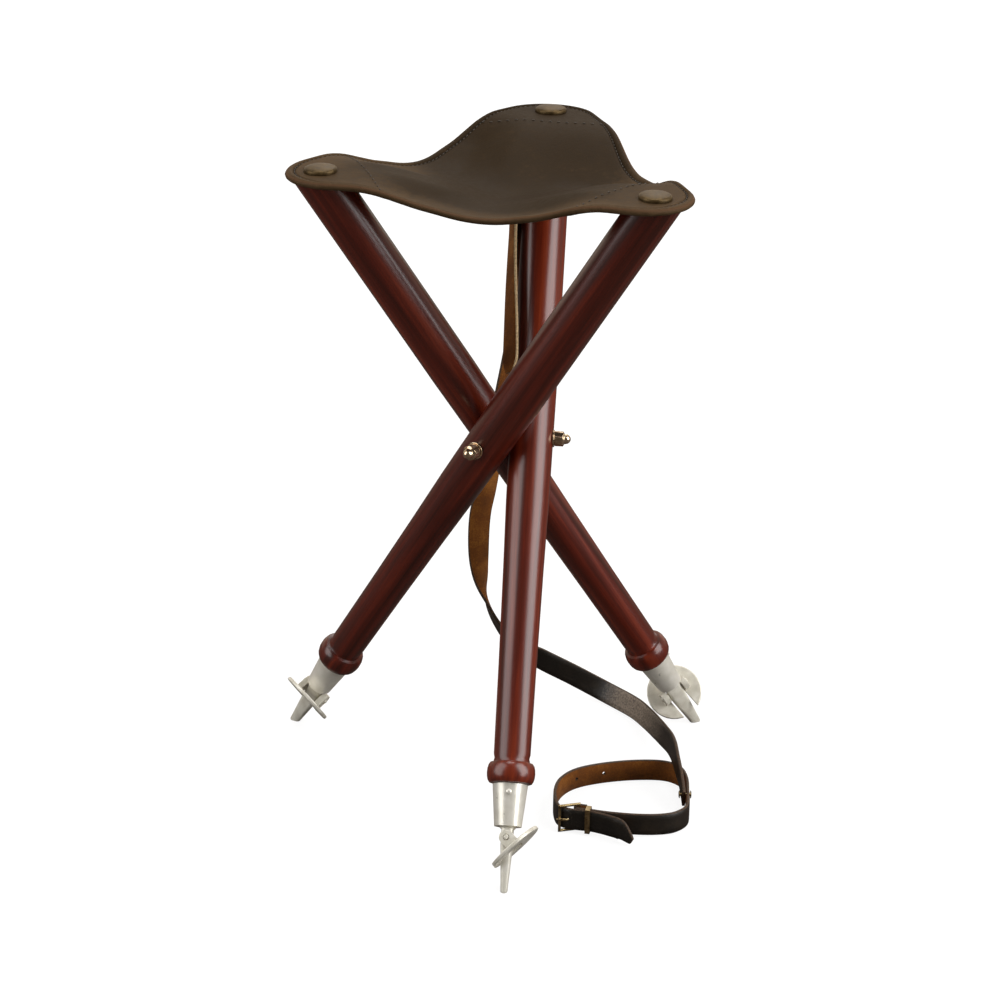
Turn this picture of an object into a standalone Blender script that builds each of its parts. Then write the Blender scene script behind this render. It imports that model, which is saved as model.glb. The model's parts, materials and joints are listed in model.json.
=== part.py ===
"""Folding tripod stool: three turned legs crossed on a three-way bolt, a leather seat, spiked feet, a carry strap."""

import math

import bmesh
import bpy
from mathutils import Matrix, Vector

# All sizes are in metres and degrees. Lengths along a leg count from where it crosses the hub bolt.
GAP = 0.0003
LEGS = ("a", "b", "c")
ARM_AZIMUTH = {"a": 235.45, "b": -4.55, "c": 115.45}

# Tripod: how far the legs lean, how far each leg passes from the middle, and its two ends.
LEG_LEAN = 33.5
HUB_RADIUS = 0.0214
HUB_TO_TIP = 0.352
HUB_TO_TOP = 0.2605

# Turned leg: radius at each height, and the bead ring above the ferrule. Its low end counts from the tip.
LEG_TOP_RADIUS = 0.0178
LEG_HUB_RADIUS = 0.0172
LEG_LOW_RADIUS = 0.0141
BEAD_RADIUS = 0.01855
BEAD_HEIGHT = 0.0167
TIP_TO_BEAD = 0.0893
TIP_TO_TENON = 0.0520

# Foot: ferrule, nail, spike, flip plate and its pin.
TIP_TO_FERRULE = 0.0485
FERRULE_TOP_RADIUS = 0.0136
FERRULE_END_RADIUS = 0.01055
FERRULE_WALL = 0.0015
NAIL_DROP = 0.0068
NECK_RADIUS = 0.0063
SHANK_RADIUS = 0.0030
SPIKE_HALF_WIDTH = 0.0068
SPIKE_HALF_DEPTH = 0.0047
SPIKE_TIP_HALF_WIDTH = 0.0046
SPIKE_TIP_HALF_DEPTH = 0.0031
TIP_TO_PIN = 0.0395
PIN_RADIUS = 0.0020
PIN_HALF_LENGTH = 0.0138
PLATE_RADIUS = 0.0230
PLATE_THICKNESS = 0.0030
PLATE_DROP = 0.0087
PLATE_TILT = -45.0
SLOT_WIDTH = 0.0152
SLOT_END = 0.0060
LUG_THICKNESS = 0.0050
LUG_RADIUS = 0.0056

# Hub: bolt arms, washers and acorn nuts.
BOLT_RADIUS = 0.0030
WASHER_RADIUS = 0.0068
WASHER_THICKNESS = 0.0016
SPOT_DEPTH = 0.0011
NUT_FLATS = 0.0112
NUT_HEX_HEIGHT = 0.0066
NUT_HEIGHT = 0.0125
NUT_DOME_SHARE = 0.72

# Seat: outline of a triangle with round corners, leather thickness, and how the leather dips.
SEAT_OVERHANG = 0.0262
CORNER_RADIUS = 0.0389
MID_EDGE_SHARE = 0.581
LEATHER = 0.0032
CORNER_SLOPE = 0.024
CORNER_FLAT_SHARE = 0.819
SLOPE_SHARE = 0.654
SAG = 0.030
SAG_SHARE = -0.043
# How far the edges hang beside each corner: on its anticlockwise side, then on its clockwise side.
EDGE_DROOP = {"a": (0.0121, 0.0095), "b": (0.0118, -0.0022), "c": (0.0077, 0.0105)}
DROOP_IN_SHARE = 0.48
DROOP_OUT_SHARE = 0.578
DROOP_END_SHARE = 0.929
DROOP_AWAY_SHARE = 0.075
DROOP_WIDTH_SHARE = 0.278
SEAT_SHARES = (0.08, 0.25, 0.43, 0.60, 0.72, 0.85, 0.96, 1.0)
SEAT_STEPS = 11
PATCH_SHARES = SEAT_SHARES[3:7]
PATCH_STEPS = 5
PATCH_THICKNESS = 0.0022
STUD_RADIUS = 0.0125
STUD_HEIGHT = 0.0044
STUD_SHANK_RADIUS = 0.0020
STUD_SHANK_LENGTH = 0.030

# Strap and belt leather.
STRAP_WIDTH = 0.018
STRAP_THICKNESS = 0.0025
STRAP_SEAT_AZIMUTH = 197.0
STRAP_SCREW_HEIGHT = 0.205
TAB_LENGTH = 0.165
TAB_OVERHANG = 0.007
TAB_TWIST = 24.0
TAB_STAND = 0.0028
RIVET_RADIUS = 0.0014
RIVET_HEAD_RADIUS = 0.0032
RIVET_HEAD = 0.0009

# Buckle on the belt: its place on the floor, and its wire frame.
BUCKLE_SPOT = (0.064, -0.0955, 0.0121)
BUCKLE_TURN = -12.0
WIRE_RADIUS = 0.0012
FRAME_REACH = 0.0140
FRAME_OUT = 0.0074
FRAME_CLEARANCE = 0.0004
KEEPER_PLACE = 0.0062
KEEPER_LENGTH = 0.0040
KEEPER_WALL = 0.0010
HOLE_RADIUS = 0.0014
HOLE_SHARES = (0.668, 0.699)

# Route of the carry strap from below its screw on leg b to the belt, as chosen by hand: point, then grain side.
STRAP_ROUTE = (
    ((0.0094, 0.1005, 0.4437), (-0.997, 0.079, 0.00)),
    ((0.0103, 0.0999, 0.4300), (-0.907, 0.323, -0.166)),
    ((0.0118, 0.1010, 0.3960), (-0.80, 0.60, 0.00)),
    ((0.0065, 0.1010, 0.3400), (-0.70, 0.71, 0.00)),
    ((-0.0030, 0.1010, 0.2800), (-0.62, 0.78, 0.00)),
    ((-0.0120, 0.1000, 0.2170), (-0.55, 0.83, 0.00)),
    ((-0.0182, 0.1020, 0.1878), (-0.25, 0.97, 0.00)),
    ((-0.0195, 0.1040, 0.1575), (-0.35, 0.94, 0.00)),
    ((-0.0176, 0.1070, 0.1310), (-0.70, 0.68, -0.20)),
    ((-0.0118, 0.1120, 0.1044), (-0.93, -0.10, -0.34)),
    ((-0.0032, 0.1200, 0.0808), (-0.80, -0.48, -0.35)),
    ((0.0115, 0.1320, 0.0571), (-0.58, -0.78, -0.10)),
    ((0.0340, 0.1440, 0.0369), (-0.38, -0.87, 0.30)),
    ((0.0630, 0.1460, 0.0207), (-0.45, -0.82, 0.35)),
    ((0.0909, 0.1363, 0.0096), (-0.62, -0.66, 0.42)),
    ((0.1134, 0.1088, 0.0092), (-0.70, -0.58, 0.40)),
    ((0.1240, 0.0848, 0.0108), (-0.78, -0.49, 0.36)),
    ((0.1313, 0.0600, 0.0138), (-0.85, -0.40, 0.31)),
    ((0.1364, 0.0350, 0.0186), (-0.90, -0.31, 0.25)),
    ((0.1397, 0.0110, 0.0246), (-0.945, -0.22, 0.18)),
    ((0.1417, -0.0130, 0.0292), (-0.98, -0.12, 0.10)),
    ((0.1437, -0.0320, 0.0266), (-1.00, -0.05, 0.04)),
    ((0.1462, -0.0480, 0.0208), (-1.00, -0.03, 0.00)),
    ((0.1478, -0.0650, 0.0128), (-1.00, 0.03, 0.00)),
)

# Route of the belt round its loop, seen from above in the buckle's frame: along, inward, and up from its bar.
BELT_ROUTE = (
    (0.0056, 0.0030, 0.0),
    (0.0028, 0.0030, 0.0),
    (0.0000, 0.0030, 0.0),
    (-0.0021, 0.0021, 0.0),
    (-0.0030, 0.0000, 0.0),
    (-0.0021, -0.0021, 0.0),
    (0.0000, -0.0030, 0.0),
    (0.0060, -0.0030, 0.0),
    (0.0240, -0.0028, -0.0006),
    (0.0470, 0.0005, -0.0014),
    (0.0650, 0.0065, -0.0020),
    (0.0756, 0.0150, -0.0024),
    (0.0812, 0.0290, -0.0025),
    (0.0777, 0.0528, -0.0025),
    (0.0725, 0.0770, -0.0025),
    (0.0635, 0.0935, -0.0025),
    (0.0460, 0.0985, -0.0025),
    (0.0150, 0.0885, -0.0023),
    (-0.0125, 0.0695, -0.0018),
    (-0.0238, 0.0480, -0.0012),
    (-0.0240, 0.0230, -0.0005),
    (-0.0170, 0.0000, 0.0),
    (-0.0080, -0.0056, 0.0),
    (0.0000, -0.0061, 0.0),
    (0.0120, -0.0062, 0.0),
    (0.0265, -0.0090, -0.0006),
    (0.0415, -0.0158, -0.0016),
)


def start_empty_scene():
    for old in list(bpy.data.objects):
        bpy.data.objects.remove(old)


def material(name, colour, roughness, metallic=0.0):
    made = bpy.data.materials.new(name)
    made.use_nodes = True
    shader = made.node_tree.nodes["Principled BSDF"]
    shader.inputs["Base Color"].default_value = (*colour, 1.0)
    shader.inputs["Roughness"].default_value = roughness
    shader.inputs["Metallic"].default_value = metallic
    made.diffuse_color = (*colour, 1.0)
    return made


def add_object(name, mesh, parent, look):
    made = bpy.data.objects.new(name, mesh)
    bpy.context.scene.collection.objects.link(made)
    made.parent = parent
    if look is None:
        made.hide_render = True
        made.display_type = "WIRE"
    else:
        mesh.materials.append(material(name, *look))
    return made


def add_empty(name, matrix, parent):
    made = bpy.data.objects.new(name, None)
    bpy.context.scene.collection.objects.link(made)
    made.parent = parent
    made.matrix_local = matrix
    made.empty_display_size = 0.02
    return made


def loft(name, rings, parent, look, loop=False):
    """Joins rings of points into one closed skin: capped at both ends, or the last ring joined to the first."""
    shape = bmesh.new()
    rows = []
    for ring in rings:
        rows.append([shape.verts.new(point) for point in ring])
    pairs = list(zip(rows, rows[1:]))
    if loop:
        pairs.append((rows[-1], rows[0]))
    for low, high in pairs:
        for i in range(len(low)):
            j = (i + 1) % len(low)
            shape.faces.new((low[i], low[j], high[j]))
            shape.faces.new((low[i], high[j], high[i]))
    if not loop:
        shape.faces.new(list(reversed(rows[0])))
        shape.faces.new(rows[-1])
    bmesh.ops.recalc_face_normals(shape, faces=shape.faces)
    mesh = bpy.data.meshes.new(name)
    shape.to_mesh(mesh)
    shape.free()
    return add_object(name, mesh, parent, look)


def circle(radius, z, steps):
    points = []
    for i in range(steps):
        turn = 2 * math.pi * i / steps
        points.append(Vector((radius * math.cos(turn), radius * math.sin(turn), z)))
    return points


def turned(name, profile, steps, parent, look, loop=False):
    """A turned piece about Z from (radius, height) pairs; a loop gives it a bore."""
    return loft(name, [circle(radius, z, steps) for radius, z in profile], parent, look, loop)


def rod(name, radius, start, end, steps, parent, look):
    """A round bar between two points."""
    start = Vector(start)
    run = Vector(end) - start
    made = turned(name, ((radius, 0.0), (radius, run.length)), steps, parent, look)
    made.matrix_local = Matrix.Translation(start) @ run.to_track_quat("Z", "Y").to_matrix().to_4x4()
    return made


def block(name, low, high, parent, look):
    rings = []
    for z in (low[2], high[2]):
        rings.append([
            Vector((low[0], low[1], z)),
            Vector((high[0], low[1], z)),
            Vector((high[0], high[1], z)),
            Vector((low[0], high[1], z)),
        ])
    return loft(name, rings, parent, look)


def boolean(target, tool, operation="DIFFERENCE"):
    step = target.modifiers.new(tool.name, "BOOLEAN")
    step.operation = operation
    step.solver = "EXACT"
    step.object = tool


def smooth_step(t):
    t = min(max(t, 0.0), 1.0)
    return t * t * (3 - 2 * t)


def flat_direction(degrees):
    turn = math.radians(degrees)
    return Vector((math.cos(turn), math.sin(turn), 0.0))


def catmull(points, share):
    """A point on the smooth curve through the points; share runs from 0 at the first to 1 at the last."""
    last = len(points) - 1
    place = min(max(share, 0.0), 1.0) * last
    i = min(int(place), last - 1)
    t = place - i
    before = points[max(i - 1, 0)]
    here = points[i]
    after = points[i + 1]
    beyond = points[min(i + 2, last)]
    slope_here = (after - before) / 2
    slope_after = (beyond - here) / 2
    return (
        here * (2 * t ** 3 - 3 * t ** 2 + 1)
        + slope_here * (t ** 3 - 2 * t ** 2 + t)
        + after * (3 * t ** 2 - 2 * t ** 3)
        + slope_after * (t ** 3 - t ** 2)
    )


def strip(name, points, faces, steps, half_width, half_thick, parent, look):
    """A flat strap along a smooth curve. half_width takes the share along it; faces gives its grain side."""
    rings = []
    for i in range(steps + 1):
        share = i / steps
        middle = catmull(points, share)
        step = 0.25 / steps
        run = (catmull(points, share + step) - catmull(points, share - step)).normalized()
        grain = catmull(faces, share)
        grain = (grain - run * grain.dot(run)).normalized()
        side = run.cross(grain) * half_width(share)
        out = grain * half_thick
        rings.append([middle + side + out, middle - side + out, middle - side - out, middle + side - out])
    return loft(name, rings, parent, look)


# Looks read from the photo, as linear colour, roughness and metallic.
MAHOGANY = ((0.085, 0.016, 0.009), 0.28)
SATIN_METAL = ((0.55, 0.53, 0.46), 0.38, 1.0)
BRIGHT_METAL = ((0.42, 0.36, 0.27), 0.18, 1.0)
SEAT_LEATHER = ((0.060, 0.044, 0.025), 0.55)
STRAP_LEATHER = ((0.045, 0.034, 0.022), 0.60)
BRASS = ((0.55, 0.37, 0.17), 0.30, 1.0)
BRONZE = ((0.085, 0.060, 0.035), 0.40, 1.0)

start_empty_scene()
root = add_empty("stool", Matrix.Identity(4), None)

# Frames of the legs: x along the bolt arm, z up the leg. Each leg's frame stands on its hinge.
lean = math.radians(LEG_LEAN)
hub_height = HUB_TO_TIP * math.cos(lean)
corner_reach = math.hypot(HUB_RADIUS, HUB_TO_TOP * math.sin(lean))
seat_reach = corner_reach + SEAT_OVERHANG
flat_from = CORNER_FLAT_SHARE * corner_reach
slope_from = SLOPE_SHARE * corner_reach
sag_from = SAG_SHARE * corner_reach
bead_centre = TIP_TO_BEAD - HUB_TO_TIP
tenon_end = TIP_TO_TENON - HUB_TO_TIP
ferrule_end = TIP_TO_FERRULE - HUB_TO_TIP
pin_height = TIP_TO_PIN - HUB_TO_TIP
corner_turn = 90 - math.degrees(math.atan2(HUB_RADIUS, HUB_TO_TOP * math.sin(lean)))
leg_top_height = hub_height + HUB_TO_TOP * math.cos(lean)
leg_frames = {}
leg_matrices = {}
for leg in LEGS:
    arm = flat_direction(ARM_AZIMUTH[leg])
    up_leg = Vector((0, 0, math.cos(lean))) + flat_direction(ARM_AZIMUTH[leg] + 90) * math.sin(lean)
    across = up_leg.cross(arm)
    frame = Matrix((arm, across, up_leg)).transposed().to_4x4()
    frame.translation = arm * HUB_RADIUS + Vector((0, 0, hub_height))
    leg_matrices[leg] = frame
    leg_frames[leg] = add_empty("leg_frame_" + leg, frame, root)

# Seat surface. Each corner lifts the leather towards it and lets it slope outwards over the leg top.
seat_lift = LEATHER + PATCH_THICKNESS + 2 * GAP


def corner_lift(out):
    """Height that one corner adds at a distance out from the middle towards that corner."""
    rise = SAG * smooth_step((out - sag_from) / (flat_from - sag_from))
    width = flat_from - slope_from
    t = min(max((out - slope_from) / width, 0.0), 1.0)
    bend = width * (t ** 3 - t ** 4 / 2)
    return rise - CORNER_SLOPE * (bend + max(out - flat_from, 0.0))


def edge_droop(leg, out, aside):
    """How far the leather hangs beside one corner, at a distance out towards it and to its anticlockwise side."""
    hang = EDGE_DROOP[leg][0] if aside > 0 else EDGE_DROOP[leg][1]
    out_share = out / corner_reach
    aside_share = abs(aside) / corner_reach
    hang *= smooth_step(out_share / DROOP_IN_SHARE)
    hang *= 1 - smooth_step((out_share - DROOP_OUT_SHARE) / (DROOP_END_SHARE - DROOP_OUT_SHARE))
    return hang * smooth_step((aside_share - DROOP_AWAY_SHARE) / DROOP_WIDTH_SHARE)


def seat_top(x, y):
    """Height of the leather's top face above a point of the floor."""
    height = leg_top_height + seat_lift - corner_lift(corner_reach)
    for leg in LEGS:
        towards = flat_direction(ARM_AZIMUTH[leg] + corner_turn)
        out = x * towards.x + y * towards.y
        height += corner_lift(out) - edge_droop(leg, out, y * towards.x - x * towards.y)
    return height


def seat_radius(offset):
    """Distance of the outline from the middle, at an angle offset from the nearest corner."""
    offset = abs(offset)
    centre = seat_reach - CORNER_RADIUS
    side = CORNER_RADIUS + centre * math.cos(math.radians(60))
    hollow = side - MID_EDGE_SHARE * seat_reach
    round_end = math.degrees(math.atan2(math.sin(math.pi / 3) * CORNER_RADIUS, centre + CORNER_RADIUS / 2))
    if offset <= round_end:
        turn = math.radians(offset)
        inside = CORNER_RADIUS ** 2 - (centre * math.sin(turn)) ** 2
        return centre * math.cos(turn) + math.sqrt(inside)
    straight = side / math.cos(math.radians(60 - offset))
    share = (offset - round_end) / (60 - round_end)
    return straight - hollow * smooth_step(share)


def seat_point(leg, step, share, down):
    """A point below the seat's top face: on a spoke near one corner, at a share of the way to the edge."""
    bend = step / SEAT_STEPS
    offset = math.copysign(60 * abs(bend) ** 1.5, bend)
    spoke = flat_direction(ARM_AZIMUTH[leg] + corner_turn + offset) * (seat_radius(offset) * share)
    return Vector((spoke.x, spoke.y, seat_top(spoke.x, spoke.y) - down))


# Legs: a turned blank, its top cut to the slope of the seat, bored for the bolt, the stud, the nail and the spike.
bead_low = bead_centre - BEAD_HEIGHT / 2
bead_high = bead_centre + BEAD_HEIGHT / 2
blank_top = HUB_TO_TOP + LEG_TOP_RADIUS * math.tan(lean) + 0.004
slope_angle = math.atan(CORNER_SLOPE)


def ferrule_radius(z):
    """Outer radius of the ferrule at a height."""
    share = (bead_low - GAP - z) / (bead_low - GAP - ferrule_end)
    return FERRULE_TOP_RADIUS + share * (FERRULE_END_RADIUS - FERRULE_TOP_RADIUS)


leg_profile = [
    (LEG_TOP_RADIUS, blank_top),
    (LEG_TOP_RADIUS, HUB_TO_TOP * 0.23),
    (LEG_HUB_RADIUS, 0.0),
    (LEG_HUB_RADIUS - 0.0004, bead_high * 0.2),
    (LEG_HUB_RADIUS - 0.00145, bead_high * 0.41),
    (LEG_LOW_RADIUS + 0.00065, bead_high * 0.7),
    (LEG_LOW_RADIUS, bead_high + 0.0062),
    (LEG_LOW_RADIUS - 0.0007, bead_high + 0.0030),
    (LEG_LOW_RADIUS, bead_high),
]
for i in range(1, 8):
    turn = math.pi * i / 8
    bulge = (BEAD_RADIUS - LEG_LOW_RADIUS) * math.sin(turn) ** 0.7
    leg_profile.append((LEG_LOW_RADIUS + bulge, bead_centre + math.cos(turn) * BEAD_HEIGHT / 2))
tenon_inset = FERRULE_WALL + GAP
leg_profile += [
    (LEG_LOW_RADIUS - 0.0004, bead_low),
    (ferrule_radius(bead_low) - tenon_inset, bead_low),
    (ferrule_radius(tenon_end) - tenon_inset, tenon_end),
]

legs = {}
for leg in LEGS:
    frame = leg_frames[leg]
    legs[leg] = turned("leg_" + leg, leg_profile, 28, frame, MAHOGANY)
    corner = flat_direction(ARM_AZIMUTH[leg] + corner_turn)
    sideways = Vector((0, 0, 1)).cross(corner)
    normal = Vector((0, 0, math.cos(slope_angle))) + corner * math.sin(slope_angle)
    outward = sideways.cross(normal)
    corner_matrix = Matrix((outward, sideways, normal)).transposed().to_4x4()
    corner_matrix.translation = corner * corner_reach + Vector((0, 0, leg_top_height))
    corner_frame = add_empty("corner_frame_" + leg, corner_matrix, root)

    top_cut = block("cut_top_" + leg, (-0.06, -0.06, 0.0), (0.06, 0.06, 0.06), corner_frame, None)
    boolean(legs[leg], top_cut)
    stud_bore = rod(
        "bore_stud_" + leg,
        STUD_SHANK_RADIUS + GAP,
        (0, 0, seat_lift - STUD_SHANK_LENGTH - 0.001),
        (0, 0, 0.02),
        12,
        corner_frame,
        None,
    )
    boolean(legs[leg], stud_bore)
    bolt_bore = rod("bore_bolt_" + leg, BOLT_RADIUS + GAP, (-0.03, 0, 0), (0.03, 0, 0), 16, frame, None)
    boolean(legs[leg], bolt_bore)
    seat_of_washer = LEG_HUB_RADIUS - SPOT_DEPTH
    spot = rod("spot_" + leg, WASHER_RADIUS + 0.0005, (seat_of_washer, 0, 0), (0.03, 0, 0), 24, frame, None)
    boolean(legs[leg], spot)
    shank_bore = rod(
        "bore_shank_" + leg,
        SHANK_RADIUS + GAP,
        (0, 0, tenon_end - 0.01),
        (0, 0, tenon_end + 0.026),
        12,
        frame,
        None,
    )
    boolean(legs[leg], shank_bore)

    # Ferrule: a tapered cap with a hole for the spike's neck, held by one nail.
    ferrule_top = bead_low - GAP
    nail_height = ferrule_top - NAIL_DROP
    hole = NECK_RADIUS + GAP
    floor_of_cap = tenon_end - GAP
    ferrule = turned(
        "ferrule_" + leg,
        (
            (FERRULE_TOP_RADIUS, ferrule_top),
            (FERRULE_END_RADIUS, ferrule_end),
            (hole, ferrule_end),
            (hole, floor_of_cap),
            (ferrule_radius(floor_of_cap) - FERRULE_WALL, floor_of_cap),
            (FERRULE_TOP_RADIUS - FERRULE_WALL, ferrule_top),
        ),
        28,
        frame,
        SATIN_METAL,
        loop=True,
    )
    nail_out = -ferrule_radius(nail_height) - GAP
    nail = turned(
        "ferrule_nail_" + leg,
        ((0.0008, -0.0075), (0.0008, 0.0), (0.0022, 0.0), (0.0021, 0.0006), (0.0012, 0.0012)),
        12,
        frame,
        SATIN_METAL,
    )
    nail.location = (0, nail_out, nail_height)
    nail.rotation_euler = (math.radians(90), 0, 0)
    nail_bore = rod("bore_nail_" + leg, 0.0011, (0, -0.02, nail_height), (0, nail_out + 0.008, nail_height), 12, frame, None)
    boolean(ferrule, nail_bore)
    boolean(legs[leg], nail_bore)

    # Spike: shank and neck, then a tapered blade whose tip is cut level with the floor.
    def oval(z, half_depth, half_width, power):
        ring = []
        for i in range(16):
            turn = 2 * math.pi * i / 16
            c = math.cos(turn)
            s = math.sin(turn)
            x = math.copysign(half_depth * abs(c) ** (2 / power), c)
            y = math.copysign(half_width * abs(s) ** (2 / power), s)
            ring.append(Vector((x, y, z)))
        return ring

    neck_top = tenon_end - GAP
    blade_top = ferrule_end - 0.0010
    tip = -HUB_TO_TIP
    spike = loft(
        "spike_" + leg,
        (
            oval(tenon_end + 0.025, SHANK_RADIUS, SHANK_RADIUS, 2),
            oval(neck_top, SHANK_RADIUS, SHANK_RADIUS, 2),
            oval(neck_top, NECK_RADIUS, NECK_RADIUS, 2),
            oval(blade_top, NECK_RADIUS, NECK_RADIUS, 2),
            oval(blade_top - 0.0012, SPIKE_HALF_DEPTH, SPIKE_HALF_WIDTH, 4),
            oval(pin_height - 0.006, SPIKE_HALF_DEPTH, SPIKE_HALF_WIDTH, 4),
            oval(tip + 0.007, SPIKE_TIP_HALF_DEPTH, SPIKE_TIP_HALF_WIDTH, 3),
            oval(tip - 0.0010, SPIKE_TIP_HALF_DEPTH * 0.86, SPIKE_TIP_HALF_WIDTH * 0.86, 2.5),
            oval(tip - 0.0045, SPIKE_TIP_HALF_DEPTH * 0.45, SPIKE_TIP_HALF_WIDTH * 0.45, 2),
        ),
        frame,
        SATIN_METAL,
    )
    pin_bore = rod(
        "bore_pin_" + leg,
        PIN_RADIUS + GAP,
        (0, -PIN_HALF_LENGTH - 0.004, pin_height),
        (0, PIN_HALF_LENGTH + 0.004, pin_height),
        16,
        frame,
        None,
    )
    boolean(spike, pin_bore)
    foot = flat_direction(ARM_AZIMUTH[leg]) * HUB_RADIUS
    foot -= flat_direction(ARM_AZIMUTH[leg] + 90) * HUB_TO_TIP * math.sin(lean)
    level = block(
        "cut_floor_" + leg,
        (foot.x - 0.03, foot.y - 0.03, -0.03),
        (foot.x + 0.03, foot.y + 0.03, 0.0),
        root,
        None,
    )
    boolean(spike, level)

    # Flip plate: a slotted round plate on two lugs that turns on the pin.
    plate_frame = add_empty(
        "plate_frame_" + leg,
        Matrix.Translation((0, 0, pin_height)) @ Matrix.Rotation(math.radians(PLATE_TILT), 4, "Y"),
        frame,
    )
    half = PLATE_THICKNESS / 2
    plate = turned(
        "flip_plate_" + leg,
        (
            (PLATE_RADIUS - 0.0005, -PLATE_DROP - half),
            (PLATE_RADIUS, -PLATE_DROP - half + 0.0005),
            (PLATE_RADIUS, -PLATE_DROP + half - 0.0005),
            (PLATE_RADIUS - 0.0005, -PLATE_DROP + half),
        ),
        32,
        plate_frame,
        SATIN_METAL,
    )
    slot = block(
        "slot_" + leg,
        (-PLATE_RADIUS - 0.01, -SLOT_WIDTH / 2, -PLATE_DROP - 0.01),
        (SLOT_END, SLOT_WIDTH / 2, -PLATE_DROP + 0.01),
        plate_frame,
        None,
    )
    boolean(plate, slot)
    lug_in = SLOT_WIDTH / 2
    for side, name in ((1, "near"), (-1, "far")):
        lug_faces = []
        for y in (lug_in * side, (lug_in + LUG_THICKNESS) * side):
            face = [Vector((-LUG_RADIUS, y, -PLATE_DROP)), Vector((LUG_RADIUS, y, -PLATE_DROP))]
            for i in range(9):
                turn = math.pi * i / 8
                face.append(Vector((LUG_RADIUS * math.cos(turn), y, LUG_RADIUS * math.sin(turn))))
            lug_faces.append(face)
        lug = loft("lug_" + name + "_" + leg, lug_faces, plate_frame, None)
        boolean(plate, lug, "UNION")
    boolean(plate, pin_bore)
    pin = turned(
        "plate_pin_" + leg,
        (
            (PIN_RADIUS * 0.7, -PIN_HALF_LENGTH),
            (PIN_RADIUS, -PIN_HALF_LENGTH + 0.0006),
            (PIN_RADIUS, PIN_HALF_LENGTH - 0.0006),
            (PIN_RADIUS * 0.7, PIN_HALF_LENGTH),
        ),
        14,
        frame,
        SATIN_METAL,
    )
    pin.location = (0, 0, pin_height)
    pin.rotation_euler = (math.radians(-90), 0, 0)

    # Washer and acorn nut on the outer end of the bolt arm.
    washer_at = seat_of_washer + GAP
    washer = turned(
        "washer_" + leg,
        (
            (WASHER_RADIUS, 0.0),
            (WASHER_RADIUS, WASHER_THICKNESS),
            (BOLT_RADIUS + GAP, WASHER_THICKNESS),
            (BOLT_RADIUS + GAP, 0.0),
        ),
        24,
        frame,
        BRIGHT_METAL,
        loop=True,
    )
    washer.location = (washer_at, 0, 0)
    washer.rotation_euler = (0, math.radians(90), 0)
    nut_at = washer_at + WASHER_THICKNESS + GAP
    hexagon = []
    for i in range(18):
        turn = 2 * math.pi * i / 18
        spread = math.cos(((turn + math.pi / 6) % (math.pi / 3)) - math.pi / 6)
        hexagon.append((NUT_FLATS / 2 / spread, turn))
    nut_rings = []
    for z in (0.0, NUT_HEX_HEIGHT):
        nut_rings.append([Vector((r * math.cos(a), r * math.sin(a), z)) for r, a in hexagon])
    dome_radius = NUT_FLATS / 2 * NUT_DOME_SHARE
    dome_from = NUT_HEX_HEIGHT + 0.3 * (NUT_HEIGHT - NUT_HEX_HEIGHT)
    nut_rings.append(circle(NUT_FLATS / 2 * 0.97, NUT_HEX_HEIGHT + 0.0003, 18))
    nut_rings.append(circle(dome_radius, NUT_HEX_HEIGHT + 0.0010, 18))
    for share in (0.0, 0.35, 0.6, 0.8, 0.93):
        z = dome_from + share * (NUT_HEIGHT - dome_from)
        nut_rings.append(circle(dome_radius * math.sqrt(1 - share ** 2), z, 18))
    nut_rings.append(circle(dome_radius * 0.12, NUT_HEIGHT, 18))
    nut = loft("acorn_nut_" + leg, nut_rings, frame, BRIGHT_METAL)
    nut.location = (nut_at, 0, 0)
    nut.rotation_euler = (0, math.radians(90), 0)
    nut_bore = rod(
        "bore_nut_" + leg,
        BOLT_RADIUS + GAP,
        (nut_at - 0.01, 0, 0),
        (nut_at + NUT_HEX_HEIGHT + 0.0015, 0, 0),
        16,
        frame,
        None,
    )
    boolean(nut, nut_bore)

    # Corner patch: a second piece of leather under the seat corner, and the stud through both.
    patch_rings = []
    for i in range(PATCH_STEPS, -PATCH_STEPS - 1, -1):
        under = [seat_point(leg, i, share, LEATHER + GAP) for share in PATCH_SHARES]
        lower = [seat_point(leg, i, share, LEATHER + GAP + PATCH_THICKNESS) for share in reversed(PATCH_SHARES)]
        patch_rings.append(under + lower)
    patch = loft("corner_patch_" + leg, patch_rings, root, SEAT_LEATHER)
    boolean(patch, stud_bore)
    stud_profile = [(STUD_SHANK_RADIUS, -STUD_SHANK_LENGTH), (STUD_SHANK_RADIUS, 0.0), (STUD_RADIUS, 0.0)]
    for wide, high in ((1.0, 0.28), (0.985, 0.45), (0.94, 0.60), (0.85, 0.73), (0.62, 0.89), (0.3, 1.0)):
        stud_profile.append((STUD_RADIUS * wide, STUD_HEIGHT * high))
    stud = turned("seat_stud_" + leg, stud_profile, 24, corner_frame, BRONZE)
    stud.location = (0, 0, seat_lift + GAP)

# Hub bolt: three arms that meet in the middle.
bolt_end = HUB_RADIUS + LEG_HUB_RADIUS - SPOT_DEPTH + WASHER_THICKNESS + 2 * GAP + NUT_HEX_HEIGHT
arms = []
for leg in LEGS:
    look = BRIGHT_METAL if leg == LEGS[0] else None
    name = "hub_bolt" if leg == LEGS[0] else "arm_" + leg
    outer = flat_direction(ARM_AZIMUTH[leg]) * bolt_end + Vector((0, 0, hub_height))
    inner = flat_direction(ARM_AZIMUTH[leg]) * -0.0015 + Vector((0, 0, hub_height))
    arms.append(rod(name, BOLT_RADIUS, inner, outer, 16, root, look))
boolean(arms[0], arms[1], "UNION")
boolean(arms[0], arms[2], "UNION")

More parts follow.
